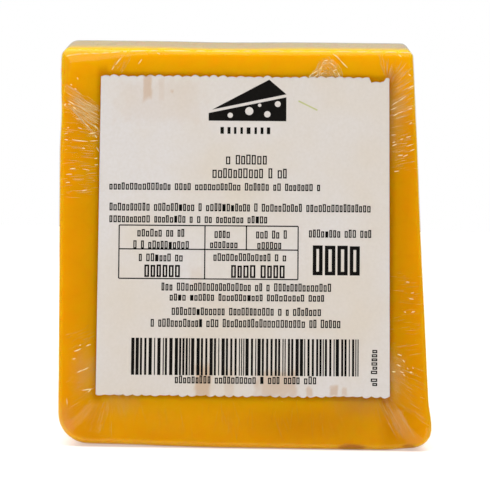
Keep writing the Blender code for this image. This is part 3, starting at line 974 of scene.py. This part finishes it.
def cutCheddar():
    # orange cheddar cut with a wire: close and moist, with faint curd joins; light sinks into it
    cheddar, tree = newMaterial("cutCheddar")
    where = addNode(tree, "ShaderNodeTexCoord", {}, {})
    curds = addNode(tree, "ShaderNodeTexNoise", {},
                    {"Vector": where.outputs["Object"], "Scale": 1 / (14 * mm), "Detail": 3.0})
    grain = addNode(tree, "ShaderNodeTexNoise", {},
                    {"Vector": where.outputs["Object"], "Scale": 1 / (1.6 * mm), "Detail": 4.0})
    joins = addNode(tree, "ShaderNodeTexVoronoi", {"feature": "DISTANCE_TO_EDGE"},
                    {"Vector": where.outputs["Object"], "Scale": 1 / (9 * mm)})
    hue = addNode(tree, "ShaderNodeMix", {"data_type": "RGBA"},
                  {0: curds, 6: linear("E2A304"), 7: linear("EBAF08")})
    speck = addNode(tree, "ShaderNodeMapRange", {}, {0: grain, 1: 0.35, 2: 0.7, 3: 0.0, 4: 0.12})
    paler = addNode(tree, "ShaderNodeMix", {"data_type": "RGBA"},
                    {0: speck, 6: hue.outputs[2], 7: linear("EDB424")})
    join = addNode(tree, "ShaderNodeMapRange", {}, {0: joins, 1: 0.0, 2: 0.06, 3: 0.10, 4: 0.0})
    joined = addNode(tree, "ShaderNodeMix", {"data_type": "RGBA"},
                     {0: join, 6: paler.outputs[2], 7: linear("D29004")})
    bump = addNode(tree, "ShaderNodeBump", {}, {"Strength": 0.25, "Distance": 0.00008, "Height": grain})
    parts = addNode(tree, "ShaderNodeSeparateXYZ", {}, {0: where.outputs["Object"]})
    # painted light: the colour turns paler towards the top edge, for light from above that comes in through
    # the top
    topLight = addNode(tree, "ShaderNodeMapRange", {},
                    {0: parts.outputs["Z"], 1: 82 * mm, 2: 94 * mm, 3: 0.0, 4: 0.6})
    paintedTopLight = addNode(tree, "ShaderNodeMix", {"data_type": "RGBA"},
                    {0: topLight, 6: joined.outputs[2], 7: linear("FBC40A")})
    shader = addNode(tree, "ShaderNodeBsdfPrincipled", {}, {
        "Base Color": paintedTopLight.outputs[2], "Roughness": 0.5, "Specular IOR Level": 0.0, "Subsurface Weight": 1.0,
        "Subsurface Radius": (1.0, 0.42, 0.08), "Subsurface Scale": 7.5 * mm, "Normal": bump})
    finishMaterial(tree, shader)
    return cheddar


def makeCheese():
    plain, faces = boxGrid(cheeseForm["spacing"], cheeseForm["depthSpacing"])
    points = shapeBlock(plain)
    normals = surfaceNormals(points, faces)
    inside = swelling(points) - cheeseForm["inside"] + cheeseForm["uneven"] * waves(points, 9 * mm, 8)
    return newPiece("cheese", points + normals * inside[:, None] + toFrame, faces, cutCheddar())


# The label: its outline repeats the solid's, and the sheet lies a little closer to the film
labelForm = {
    "bottomWidth": 0.0675,
    "topWidth": 0.0669,
    "height": 0.0740,
    "centre": (-0.0008, 0.0488),
    "turn": math.radians(0.4),
    "toothPitch": 0.0021,
    "toothDepth": 0.0005,
    "toothForm": ((0.25, 0.75), (0.5, 1.0), (0.75, 0.7)),
    "tearSeed": 7,
    "topBite": (0.0008, 0.0043, 0.0010),  # from and to along the edge, and how deep
    "lift": 0.33 * mm,
    "thickness": 0.10 * mm,
    "cockle": 0.045 * mm,
    "columns": 256,
    "rows": 100,
}
labelTurn = np.array(Matrix.Rotation(math.radians(90) - blockForm["frontLean"], 3, "X")
                     @ Matrix.Rotation(labelForm["turn"], 3, "Z"))
labelMiddle = np.array((labelForm["centre"][0], frontDepth(labelForm["centre"][1]), labelForm["centre"][1]))


def paperHeight(across, up):
    # how far the paper's middle stands off the block's front
    places = np.stack((across, up), axis=1)
    return labelForm["lift"] + labelForm["cockle"] * waves(places, 24 * mm, 12)


def onLabel(across, up, off):
    # places on the label, in its own measures, in the frame
    local = np.stack((across, up, off), axis=1)
    return local @ labelTurn.T + labelMiddle + toFrame


def tornEdge(width, draw, bite=(0.0, 0.0, 0.0)):
    # one torn end: rounded teeth, none quite like the next, torn in deeper for one stretch
    count = round(width / labelForm["toothPitch"])
    pitch = width / count
    along, heights = [0.0], [0.0]
    for tooth in range(count):
        tall = labelForm["toothDepth"] * draw.uniform(0.35, 1.1)
        lean = draw.uniform(-0.12, 0.12)
        for share, level in labelForm["toothForm"]:
            along.append((tooth + share + lean * level) * pitch)
            heights.append(tall * level)
        along.append((tooth + 1) * pitch)
        heights.append(labelForm["toothDepth"] * draw.uniform(-0.1, 0.15))
    heights[-1] = 0.0
    start, end, depth = bite
    heights = [tall - depth * (start < place < end) for place, tall in zip(along, heights)]
    return along, heights


# Marks that the wet pack left on the paper: middle, half width and half height in mm, strength
stains = {
    "tapeMark": ((-22.6, 34.6), 1.0, 3.4, 0.55),
    "tapeSmudge": ((-19.4, 33.6), 0.7, 2.6, 0.22),
    "tapeDot": ((-16.9, 33.4), 0.35, 0.35, 0.5),
    "topSmear": ((-20.0, 31.0), 9.0, 4.5, 0.10),
    "footMark": ((-9.2, -33.6), 1.8, 3.8, 0.62),
    "footSmear": ((-3.1, -34.0), 1.1, 3.0, 0.22),
    "footPatch": ((7.8, -34.2), 4.4, 2.9, 0.48),
    "footPatchDark": ((10.6, -34.8), 1.6, 2.2, 0.25),
    "footDrop": ((15.3, -36.0), 0.7, 1.0, 0.5),
    "footDropRight": ((20.8, -35.6), 0.9, 1.1, 0.55),
    "footDropLast": ((23.3, -35.8), 0.6, 1.0, 0.4),
    "middleGhost": ((-10.9, -9.8), 1.3, 2.2, 0.14),
}


def thermalPaper():
    # coated thermal label paper: smooth, matt, a warm grey white that shows damp and grease
    paper, tree = newMaterial("thermalPaper")
    where = addNode(tree, "ShaderNodeTexCoord", {}, {})
    dampAndPaintedShade = addNode(tree, "ShaderNodeTexNoise", {},
                   {"Vector": where.outputs["Object"], "Scale": 1 / (22 * mm), "Detail": 3.0})
    fibre = addNode(tree, "ShaderNodeTexNoise", {},
                    {"Vector": where.outputs["Object"], "Scale": 1 / (0.7 * mm), "Detail": 3.0})
    tone = addNode(tree, "ShaderNodeMapRange", {}, {0: dampAndPaintedShade, 1: 0.35, 2: 0.65, 3: 0.0, 4: 1.0})
    base = addNode(tree, "ShaderNodeMix", {"data_type": "RGBA"},
                   {0: tone, 6: linear("DDD3C7"), 7: linear("DFDAD8")})
    flecks = addNode(tree, "ShaderNodeMapRange", {}, {0: fibre, 1: 0.3, 2: 0.7, 3: 0.0, 4: 0.25})
    fine = addNode(tree, "ShaderNodeMix", {"data_type": "RGBA"},
                   {0: flecks, 6: base.outputs[2], 7: linear("CFC6BA")})
    stain = addNode(tree, "ShaderNodeAttribute", {"attribute_name": "stain"}, {})
    marked = addNode(tree, "ShaderNodeMix", {"data_type": "RGBA"},
                     {0: stain.outputs["Fac"], 6: fine.outputs[2], 7: linear("C6A079")})
    bump = addNode(tree, "ShaderNodeBump", {}, {"Strength": 0.2, "Distance": 0.00003, "Height": fibre})
    shader = addNode(tree, "ShaderNodeBsdfPrincipled", {}, {
        "Base Color": marked.outputs[2], "Roughness": 0.72, "Specular IOR Level": 0.25, "Normal": bump})
    finishMaterial(tree, shader)
    return paper


def makePaper():
    draw = random.Random(labelForm["tearSeed"])
    low = (labelForm["height"] - labelForm["toothDepth"]) / 2
    footAlong, footTeeth = tornEdge(labelForm["bottomWidth"], draw)
    headAlong, headTeeth = tornEdge(labelForm["topWidth"], draw, labelForm["topBite"])
    columns, rows = labelForm["columns"], labelForm["rows"]
    share = np.linspace(0, 1, columns + 1)
    foot = -low - np.interp(share * labelForm["bottomWidth"], footAlong, footTeeth)
    head = low + np.interp((1 - share) * labelForm["topWidth"], headAlong, headTeeth)
    up = (1 - np.cos(np.linspace(0, np.pi, rows + 1))) / 2
    up = 0.75 * np.linspace(0, 1, rows + 1) + 0.25 * up
    width = labelForm["bottomWidth"] + (labelForm["topWidth"] - labelForm["bottomWidth"]) * up
    across = ((share[None, :] - 0.5) * width[:, None]).ravel()
    height = (foot[None, :] + (head - foot)[None, :] * up[:, None]).ravel()
    stain = np.zeros(len(across))
    wobble = 1 + 0.18 * waves(np.stack((across, height), axis=1), 2.5 * mm, 17)
    for (a, b), halfWide, halfHigh, strength in stains.values():
        reach = np.maximum(np.abs(across / mm - a) / halfWide, np.abs(height / mm - b) / halfHigh) * wobble
        stain = np.maximum(stain, strength * softStep((reach - 0.7) / 0.6))
    points = onLabel(across, height, paperHeight(across, height))
    piece = newPiece("paper_label", points, gridFaces(columns, rows), thermalPaper(), {"stain": stain})
    thicken(piece, labelForm["thickness"])
    return piece


# The print: simple marks in rows. Places and sizes are in mm on the label, from its middle:
# left end, middle height, length, mark height, and the style of the marks
# Each style: narrowest, widest, closest, furthest, word gap, share of gaps, lowest mark, stroke,
# share of solids
markStyles = {
    "fine": (0.66, 0.80, 0.20, 0.26, 0.78, 0.16, 0.72, 0.27, 0.04),
    "head": (0.82, 1.02, 0.26, 0.34, 0.95, 0.10, 0.74, 0.29, 0.0),
    "spaced": (0.55, 0.90, 0.75, 0.95, 0.0, 0.0, 0.95, 0.3, 1.0),
    "bold": (1.00, 1.25, 0.30, 0.38, 0.9, 0.15, 0.94, 0.40, 0.0),
    "large": (2.20, 2.45, 0.42, 0.52, 0.0, 0.0, 0.97, 0.84, 0.0),
    "bars": (0.25, 1.00, 0.25, 0.75, 0.0, 0.0, 1.0, 0.25, 1.0),
}
printRows = {
    "underSign": (-5.64, 24.37, 12.3, 1.6, "spaced"),
    "headA": (-4.3, 17.7, 10.6, 2.45, "head"),
    "headB": (-7.4, 14.5, 17.2, 2.45, "head"),
    "noteA": (-31.2, 11.3, 50.0, 1.8, "fine"),
    "noteB": (-31.1, 6.5, 60.6, 1.9, "fine"),
    "noteC": (-31.1, 3.7, 37.8, 1.75, "fine"),
    "cellA": (-24.6, 0.5, 11.1, 1.85, "fine"),
    "cellB": (-25.5, -2.2, 13.8, 1.95, "fine"),
    "cellC": (-24.2, -5.2, 10.2, 1.85, "fine"),
    "cellD": (-22.9, -8.3, 8.6, 2.9, "bold"),
    "cellE": (-6.8, 0.3, 3.8, 1.85, "fine"),
    "cellF": (-7.8, -2.1, 7.0, 1.75, "fine"),
    "cellG": (2.8, 0.3, 7.6, 1.95, "fine"),
    "cellH": (3.1, -2.2, 6.8, 1.8, "fine"),
    "cellI": (-7.0, -5.0, 17.6, 1.85, "fine"),
    "cellJ": (-2.9, -8.3, 12.6, 3.0, "bold"),
    "sideHead": (15.0, 0.6, 14.6, 1.9, "fine"),
    "sideLarge": (15.9, -5.6, 13.4, 6.9, "large"),
    "footA": (-18.9, -11.9, 39.5, 1.9, "fine"),
    "footB": (-17.0, -14.3, 35.9, 1.7, "fine"),
    "footC": (-16.5, -17.5, 34.4, 1.9, "fine"),
    "footD": (-21.3, -20.2, 44.3, 2.0, "fine"),
    "bars": (-25.7, -28.0, 52.7, 8.5, "bars"),
    "underBars": (-15.6, -33.2, 32.5, 1.85, "fine"),
}
uprightRow = (30.1, -34.4, 9.3, 1.5, "fine")
ruledLines = {  # from (across, up) to (across, up)
    "top": ((-28.8, 2.2), (12.5, 2.2)),
    "middle": ((-28.8, -3.3), (12.5, -3.3)),
    "bottom": ((-28.8, -10.1), (12.5, -10.1)),
    "left": ((-28.8, -10.1), (-28.8, 2.2)),
    "right": ((12.5, -10.1), (12.5, 2.2)),
    "dividerA": ((-9.0, -10.1), (-9.0, 2.2)),
    "dividerB": ((0.57, -3.3), (0.57, 2.2)),
}
inkForm = {"lineWidth": 0.28, "thick": 0.02, "step": 1.5, "unit": 0.01, "barUnit": 0.25}
threadForm = {"length": 4.9, "width": 0.36, "thick": 0.03, "place": (14.6, 30.3), "turn": math.radians(-26)}
wedgeSign = {  # a wedge of cheese: its cut side with holes, and the rind side above it
    "side": ((-8.4, 26.6), (9.6, 26.6), (9.6, 32.2), (-8.4, 28.4)),
    "top": ((-7.6, 29.2), (9.6, 32.9), (5.6, 36.3)),
    "holes": (
        ((-3.4, 27.9), 0.62), ((1.0, 28.9), 0.95), ((5.2, 28.2), 0.75),
        ((7.6, 30.6), 0.70), ((3.4, 30.3), 0.40)),
}


def markTree(material):
    # a row of marks along X, up to a length: hollow frames and solid blocks of random sizes
    tree = bpy.data.node_groups.new("markRow", "GeometryNodeTree")
    tree.interface.new_socket("Geometry", in_out="INPUT", socket_type="NodeSocketGeometry")
    for name in ("Length", "Height", "Narrowest", "Widest", "Closest", "Furthest", "Word Gap", "Gap Share",
                 "Lowest", "Stroke", "Solid Share", "Unit", "Thickness"):
        tree.interface.new_socket(name, in_out="INPUT", socket_type="NodeSocketFloat")
    for name in ("Most Marks", "Cuts", "Seed"):
        tree.interface.new_socket(name, in_out="INPUT", socket_type="NodeSocketInt")
    tree.interface.new_socket("Geometry", in_out="OUTPUT", socket_type="NodeSocketGeometry")
    given = addNode(tree, "NodeGroupInput", {}, {}).outputs

    def work(kind, first, second):
        return addNode(tree, "ShaderNodeMath", {"operation": kind}, {0: first, 1: second}).outputs[0]

    def between(low, high, step):
        return addNode(tree, "FunctionNodeRandomValue", {"data_type": "FLOAT"}, {
            2: low, 3: high, "Seed": work("ADD", given["Seed"], float(step))}).outputs[1]

    def read(name):
        return addNode(tree, "GeometryNodeInputNamedAttribute", {"data_type": "FLOAT"},
                       {"Name": name}).outputs[0]

    row = addNode(tree, "GeometryNodeMeshLine", {}, {"Count": given["Most Marks"], "Offset": (0, 0, 0)})
    wide = work("SNAP", between(given["Narrowest"], given["Widest"], 0), given["Unit"])
    wide = work("MAXIMUM", wide, given["Narrowest"])
    gap = work("SNAP", between(given["Closest"], given["Furthest"], 101), given["Unit"])
    gap = work("MAXIMUM", gap, given["Closest"])
    breaks = work("LESS_THAN", between(0.0, 1.0, 202), given["Gap Share"])
    step = work("ADD", work("ADD", wide, gap), work("MULTIPLY", breaks, given["Word Gap"]))
    start = addNode(tree, "GeometryNodeAccumulateField", {"data_type": "FLOAT"},
                    {0: step}).outputs["Trailing"]
    values = {
        "start": start,
        "wide": wide,
        "tall": work("MULTIPLY", between(given["Lowest"], 1.0, 303), given["Height"]),
        "solid": work("LESS_THAN", between(0.0, 1.0, 404), given["Solid Share"]),
        "past": work("GREATER_THAN", work("ADD", start, wide), given["Length"]),
    }
    kept = row
    for name, value in values.items():
        kept = addNode(tree, "GeometryNodeStoreNamedAttribute", {"data_type": "FLOAT", "domain": "POINT"}, {
            "Geometry": kept, "Name": name, "Value": value}).outputs[0]
    kept = addNode(tree, "GeometryNodeDeleteGeometry", {"domain": "POINT"}, {
        "Geometry": kept, "Selection": read("past")}).outputs[0]
    block = addNode(tree, "GeometryNodeMeshCube", {},
                    {"Size": (1.0, 1.0, 1.0), "Vertices Y": given["Cuts"]})
    marks = addNode(tree, "GeometryNodeJoinGeometry", {}, {})
    hollow = work("SUBTRACT", 1.0, read("solid"))
    low = work("MULTIPLY", given["Height"], -0.5)

    def addBlock(wanted, left, right, bottom, top):
        # one block of each wanted mark, between these places
        middle = addNode(tree, "ShaderNodeCombineXYZ", {}, {
            0: work("MULTIPLY", work("ADD", left, right), 0.5),
            1: work("MULTIPLY", work("ADD", bottom, top), 0.5), 2: 0.0})
        size = addNode(tree, "ShaderNodeCombineXYZ", {}, {
            0: work("SUBTRACT", right, left), 1: work("SUBTRACT", top, bottom), 2: given["Thickness"]})
        placed = addNode(tree, "GeometryNodeSetPosition", {}, {"Geometry": kept, "Position": middle})
        made = addNode(tree, "GeometryNodeInstanceOnPoints", {}, {
            "Points": placed, "Selection": wanted, "Instance": block, "Scale": size})
        tree.links.new(made.outputs[0], marks.inputs[0])

    left, bottom = read("start"), low
    right, top = work("ADD", left, read("wide")), work("ADD", low, read("tall"))
    innerLeft, innerRight = work("ADD", left, given["Stroke"]), work("SUBTRACT", right, given["Stroke"])
    addBlock(read("solid"), left, right, bottom, top)
    addBlock(hollow, left, innerLeft, bottom, top)
    addBlock(hollow, innerRight, right, bottom, top)
    addBlock(hollow, innerLeft, innerRight, bottom, work("ADD", bottom, given["Stroke"]))
    addBlock(hollow, innerLeft, innerRight, work("SUBTRACT", top, given["Stroke"]), top)
    real = addNode(tree, "GeometryNodeRealizeInstances", {}, {"Geometry": marks})
    done = addNode(tree, "GeometryNodeSetMaterial", {}, {"Geometry": real, "Material": material})
    addNode(tree, "NodeGroupOutput", {}, {"Geometry": done})
    return tree


def thermalInk():
    # heat-blackened coating: near black and as matt as the paper
    ink, tree = newMaterial("thermalInk")
    where = addNode(tree, "ShaderNodeTexCoord", {}, {})
    worn = addNode(tree, "ShaderNodeTexNoise", {},
                   {"Vector": where.outputs["Object"], "Scale": 1 / (0.8 * mm), "Detail": 3.0})
    fade = addNode(tree, "ShaderNodeMapRange", {}, {0: worn, 1: 0.45, 2: 0.75, 3: 0.0, 4: 0.12})
    black = addNode(tree, "ShaderNodeMix", {"data_type": "RGBA"},
                    {0: fade, 6: linear("0F0D0B"), 7: linear("2A2622")})
    shader = addNode(tree, "ShaderNodeBsdfPrincipled", {}, {
        "Base Color": black.outputs[2], "Roughness": 0.7, "Specular IOR Level": 0.08})
    finishMaterial(tree, shader)
    return ink


def greenThread():
    # a hair-thin pale green thread lying on the paper
    thread, tree = newMaterial("greenThread")
    where = addNode(tree, "ShaderNodeTexCoord", {}, {})
    spin = addNode(tree, "ShaderNodeTexNoise", {},
                   {"Vector": where.outputs["Object"], "Scale": 1 / (1.5 * mm)})
    tone = addNode(tree, "ShaderNodeMix", {"data_type": "RGBA"},
                   {0: spin, 6: linear("B4BC70"), 7: linear("CDCB9C")})
    shader = addNode(tree, "ShaderNodeBsdfPrincipled", {},
                     {"Base Color": tone.outputs[2], "Roughness": 0.6})
    finishMaterial(tree, shader)
    return thread


def readMesh(mesh):
    # a mesh's points and faces as arrays, and the mesh removed
    points = np.zeros(len(mesh.vertices) * 3, np.float32)
    mesh.vertices.foreach_get("co", points)
    faces = [tuple(face.vertices) for face in mesh.polygons]
    bpy.data.meshes.remove(mesh)
    return points.reshape(-1, 3).astype(float), faces


def signMesh(outline, holes):
    # a flat sign with round holes, thick as ink and cut small enough to follow the paper
    curve = bpy.data.curves.new("sign", "CURVE")
    curve.dimensions = "2D"
    curve.fill_mode = "BOTH"
    curve.extrude = inkForm["thick"] * mm / 2
    rings = [outline] + [
        [(x + r * math.cos(math.tau * n / 20), z + r * math.sin(math.tau * n / 20)) for n in range(20)]
        for (x, z), r in holes
    ]
    for ring in rings:
        spline = curve.splines.new("POLY")
        spline.points.add(len(ring) - 1)
        for point, (x, z) in zip(spline.points, ring):
            point.co = (x * mm, z * mm, 0.0, 1.0)
        spline.use_cyclic_u = True
    mesh = evaluatedMesh(placeObject("sign", curve), "sign")
    bm = bmesh.new()
    bm.from_mesh(mesh)
    bmesh.ops.remove_doubles(bm, verts=bm.verts, dist=0.001 * mm)
    for _ in range(5):
        long = [edge for edge in bm.edges if edge.calc_length() > inkForm["step"] * mm]
        if long:
            bmesh.ops.subdivide_edges(bm, edges=long, cuts=1)
            bmesh.ops.triangulate(bm, faces=bm.faces)
    bmesh.ops.recalc_face_normals(bm, faces=bm.faces)
    bm.to_mesh(mesh)
    bm.free()
    return readMesh(mesh)


def makePrint():
    ink, thread = thermalInk(), greenThread()
    tree = markTree(ink)
    points, faces = [], []

    def addMarks(made, across, up, turn):
        spots, rings = made
        first = sum(len(p) for p in points)
        c, s = math.cos(turn), math.sin(turn)
        x = across * mm + spots[:, 0] * c - spots[:, 1] * s
        y = up * mm + spots[:, 0] * s + spots[:, 1] * c
        off = paperHeight(x, y) + labelForm["thickness"] / 2 + spots[:, 2]
        points.append(onLabel(x, y, off))
        faces.extend(tuple(n + first for n in ring) for ring in rings)

    def markRow(row, number, turn=0.0):
        across, up, length, height, style = row
        narrow, wide, close, far, wordGap, gapShare, lowest, stroke, solids = markStyles[style]
        start = bpy.data.meshes.new("start")
        made = runTree("marks", tree, start, {
            "Length": length * mm, "Height": height * mm, "Narrowest": narrow * mm, "Widest": wide * mm,
            "Closest": close * mm, "Furthest": far * mm, "Word Gap": wordGap * mm, "Gap Share": gapShare,
            "Lowest": lowest, "Stroke": stroke * mm, "Solid Share": solids,
            "Unit": inkForm["barUnit" if style == "bars" else "unit"] * mm,
            "Thickness": inkForm["thick"] * mm,
            "Most Marks": math.ceil(length / (narrow + close)) + 1,
            "Cuts": max(2, math.ceil(height / inkForm["step"]) + 1), "Seed": number * 7,
        })
        addMarks(readMesh(made), across, up, turn)

    for number, row in enumerate(printRows.values()):
        markRow(row, number + 1)
    markRow(uprightRow, 77, math.pi / 2)
    width = inkForm["lineWidth"]
    for (a, b), (c, d) in ruledLines.values():
        reach = math.hypot(c - a, d - b)
        cuts = math.ceil(reach / inkForm["step"])
        line = straightBar(reach * mm, width * mm, inkForm["thick"] * mm, cuts)
        addMarks(line, (a + c) / 2, (b + d) / 2, math.atan2(d - b, c - a))
    addMarks(signMesh(wedgeSign["side"], wedgeSign["holes"]), 0.0, 0.0, 0.0)
    addMarks(signMesh(wedgeSign["top"], ()), 0.0, 0.0, 0.0)
    inked = len(faces)
    bar = straightBar(threadForm["length"] * mm, threadForm["width"] * mm, threadForm["thick"] * mm, 4)
    addMarks(bar, *threadForm["place"], threadForm["turn"])
    piece = newPiece("label_print", np.concatenate(points), faces, ink)
    piece.data.materials.append(thread)
    slots = np.zeros(len(piece.data.polygons), np.int32)
    slots[inked:] = 1
    piece.data.polygons.foreach_set("material_index", slots)
    piece.data.shade_flat()
    return piece


def straightBar(length, width, thick, cuts):
    # a long thin box along X, cut so that it can follow the paper
    along = np.linspace(-length / 2, length / 2, cuts + 1)
    ring = np.array(((-1, -1), (1, -1), (1, 1), (-1, 1))) * (width / 2, thick / 2)
    points = [(x, y, z) for x in along for y, z in ring]
    faces = [(3, 2, 1, 0), tuple(4 * cuts + n for n in range(4))]
    for n in range(cuts):
        for k in range(4):
            a, b = 4 * n + k, 4 * n + (k + 1) % 4
            faces.append((a, b, b + 4, a + 4))
    return np.array(points), faces


# The film's ends on the back, folded over each other: outlines as (x, z) in mm, seen through
# the block from the front, and how far the sheet stands off the back
flaps = {
    "top": (((-33.0, 92.3), (27.0, 92.6), (13.0, 66.2), (-16.0, 64.7)), 0.30),
    "bottom": (((-34.5, 3.2), (-17.5, 31.8), (12.0, 30.3), (34.5, 3.2)), 0.22),
    "strip": (((-6.5, 30.6), (-5.0, 66.2), (2.5, 66.2), (1.0, 30.6)), 0.15),
}
flapForm = {"across": 80, "up": 60, "crinkle": 0.05, "thick": 0.03, "veil": 0.005, "wavy": 0.5}


def makeFlaps(material):
    points, faces, veil = [], [], []
    across, up = flapForm["across"], flapForm["up"]
    share, rise = np.meshgrid(np.linspace(0, 1, across + 1), np.linspace(0, 1, up + 1))
    share, rise = share.ravel()[:, None], rise.ravel()[:, None]
    for number, (outline, off) in enumerate(flaps.values()):
        a, b, c, d = (np.array(corner) for corner in outline)
        flat = (a * (1 - share) + b * share) * (1 - rise) + (d * (1 - share) + c * share) * rise
        sway = np.stack((waves(flat, 9.0, 80 + number), waves(flat, 9.0, 90 + number)), axis=1)
        flat = (flat + sway * flapForm["wavy"]) * mm
        crumple = waves(flat * (1.0, 0.35), 2.4 * mm, 60 + number) * 0.6
        crumple += waves(flat, 7 * mm, 70 + number) * 0.6
        depth = blockForm["bottomDepth"] / 2 + (off + flapForm["crinkle"] * crumple) * mm
        spots = np.stack((flat[:, 0], depth, flat[:, 1]), axis=1) + toFrame
        first = sum(len(p) for p in points)
        order = -1 if np.cross(b - a, d - a) > 0 else 1
        faces += [tuple(first + n for n in ring[::order]) for ring in gridFaces(across, up)]
        points.append(spots)
        edge = np.minimum.reduce((share, 1 - share, rise, 1 - rise)).ravel()
        veil.append(flapForm["veil"] * (1 + 0.5 * crumple) + 0.05 * softStep(edge / 0.02))
    piece = newPiece("film_flaps", np.concatenate(points), faces, material, {
        "veil": np.concatenate(veil).clip(0, 1)})
    thicken(piece, flapForm["thick"] * mm)
    return piece


filmMaterial = stretchFilm()
cheese = makeCheese()
print("cheese:", len(cheese.data.polygons), "faces")
film, filmSurface = makeFilm(filmMaterial)
print("film:", len(film.data.polygons), "faces")
pleats = makePleats(filmSurface, pleatedFilm())
print("pleats:", len(pleats.data.polygons), "faces")
flapSheets = makeFlaps(filmMaterial)
print("flaps:", len(flapSheets.data.polygons), "faces")
paper = makePaper()
print("paper:", len(paper.data.polygons), "faces")
marks = makePrint()
print("print:", len(marks.data.polygons), "faces")

for piece in (cheese, film, pleats, flapSheets):
    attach(piece, "root")
    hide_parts("cheddar_block")
for piece in (paper, marks):
    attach(piece, "root")
    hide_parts("label")


# The stage: a pale floor, soft boxes above and beside the camera, and a dark card round the
# camera, so that the flat front shows its colour and only the wrinkles catch the light
lights = {  # place, size, watts
    "overheadBox": ((-0.04, 0.08, 0.85), 1.70, 15.2),
    "leftBox": ((-0.62, -0.72, 0.60), 0.15, 0.95),
    "rightBox": ((0.66, -0.66, 0.46), 0.13, 0.22),
    "backBox": ((0.25, 0.95, 0.70), 0.40, 0.6),
}
stageForm = {"floorRadius": 3.0, "aim": (0.0, 0.0, 0.05), "card": (0.0, -1.0, 0.16), "cardEdge": (14, 30)}


def paleFloor():
    # painted studio floor: matt white
    floor, tree = newMaterial("paleFloor")
    where = addNode(tree, "ShaderNodeTexCoord", {}, {})
    cloud = addNode(tree, "ShaderNodeTexNoise", {}, {"Vector": where.outputs["Object"], "Scale": 4.0})
    tone = addNode(tree, "ShaderNodeMix", {"data_type": "RGBA"},
                   {0: cloud, 6: linear("F4F4F4"), 7: linear("F7F7F7")})
    away = addNode(tree, "ShaderNodeVectorMath", {"operation": "LENGTH"}, {0: where.outputs["Object"]})
    glow = addNode(tree, "ShaderNodeMapRange", {}, {
        0: away.outputs["Value"], 1: 0.5, 2: 2.5, 3: 0.43, 4: 1.03})
    shader = addNode(tree, "ShaderNodeBsdfPrincipled", {}, {
        "Base Color": tone.outputs[2], "Roughness": 0.9, "Specular IOR Level": 0.0,
        "Emission Color": linear("FFFFFF"), "Emission Strength": glow})
    finishMaterial(tree, shader)
    return floor


def addFloor():
    bm = bmesh.new()
    bmesh.ops.create_circle(bm, cap_ends=True, segments=96, radius=stageForm["floorRadius"])
    bmesh.ops.translate(bm, verts=bm.verts, vec=(0, 0, -0.0001))
    mesh = bpy.data.meshes.new("floor")
    bm.to_mesh(mesh)
    bm.free()
    mesh.materials.append(paleFloor())
    floor = placeObject("floor", mesh)


def addLights():
    for name, (place, size, watts) in lights.items():
        data = bpy.data.lights.new(name, "AREA")
        data.size = size
        data.energy = watts
        lamp = placeObject(name, data)
        lamp.location = place
        lamp.rotation_euler = (Vector(stageForm["aim"]) - Vector(place)).to_track_quat("-Z", "Y").to_euler()


def addWorld():
    world = bpy.data.worlds.new("studio")
    world.use_nodes = True
    tree = world.node_tree
    tree.nodes.clear()
    where = addNode(tree, "ShaderNodeTexCoord", {}, {})
    parts = addNode(tree, "ShaderNodeSeparateXYZ", {}, {0: where.outputs["Generated"]})
    height = addNode(tree, "ShaderNodeMapRange", {},
                     {0: parts.outputs["Z"], 1: 0.0, 2: 0.9, 3: 0.33, 4: 0.46})
    towards = addNode(tree, "ShaderNodeVectorMath", {"operation": "DOT_PRODUCT"}, {
        0: where.outputs["Generated"], 1: Vector(stageForm["card"]).normalized()})
    inner, outer = (math.cos(math.radians(angle)) for angle in stageForm["cardEdge"])
    card = addNode(tree, "ShaderNodeMapRange", {"interpolation_type": "SMOOTHSTEP"},
                   {0: towards.outputs["Value"], 1: outer, 2: inner, 3: 1.0, 4: 0.02})
    behind = addNode(tree, "ShaderNodeMapRange", {},
                     {0: parts.outputs["Y"], 1: -0.5, 2: 0.9, 3: 0.72, 4: 1.75})
    above = addNode(tree, "ShaderNodeMapRange", {},
                    {0: parts.outputs["Z"], 1: 0.25, 2: 0.6, 3: 0.0, 4: 1.0})
    behind = addNode(tree, "ShaderNodeMix", {"data_type": "FLOAT"}, {0: above, 2: behind, 3: 0.55})
    shade = addNode(tree, "ShaderNodeMath", {"operation": "MULTIPLY"}, {0: height, 1: card})
    shade = addNode(tree, "ShaderNodeMath", {"operation": "MULTIPLY"}, {0: shade, 1: behind})
    beside = addNode(tree, "ShaderNodeMapRange", {},
                     {0: parts.outputs["X"], 1: -0.9, 2: 0.9, 3: 0.95, 4: 0.66})
    shade = addNode(tree, "ShaderNodeMath", {"operation": "MULTIPLY"}, {0: shade, 1: beside})
    path = addNode(tree, "ShaderNodeLightPath", {}, {})
    seen = addNode(tree, "ShaderNodeBackground", {}, {"Color": linear("FFFFFF"), "Strength": 1.0})
    lit = addNode(tree, "ShaderNodeBackground", {}, {"Color": linear("FFF9EF"), "Strength": shade})
    both = addNode(tree, "ShaderNodeMixShader", {}, {0: path.outputs["Is Camera Ray"], 1: lit, 2: seen})
    addNode(tree, "ShaderNodeOutputWorld", {}, {"Surface": both})
    bpy.context.scene.world = world


addFloor()
addLights()
addWorld()
bpy.context.scene.view_settings.view_transform = "Standard"
print("stage: done")
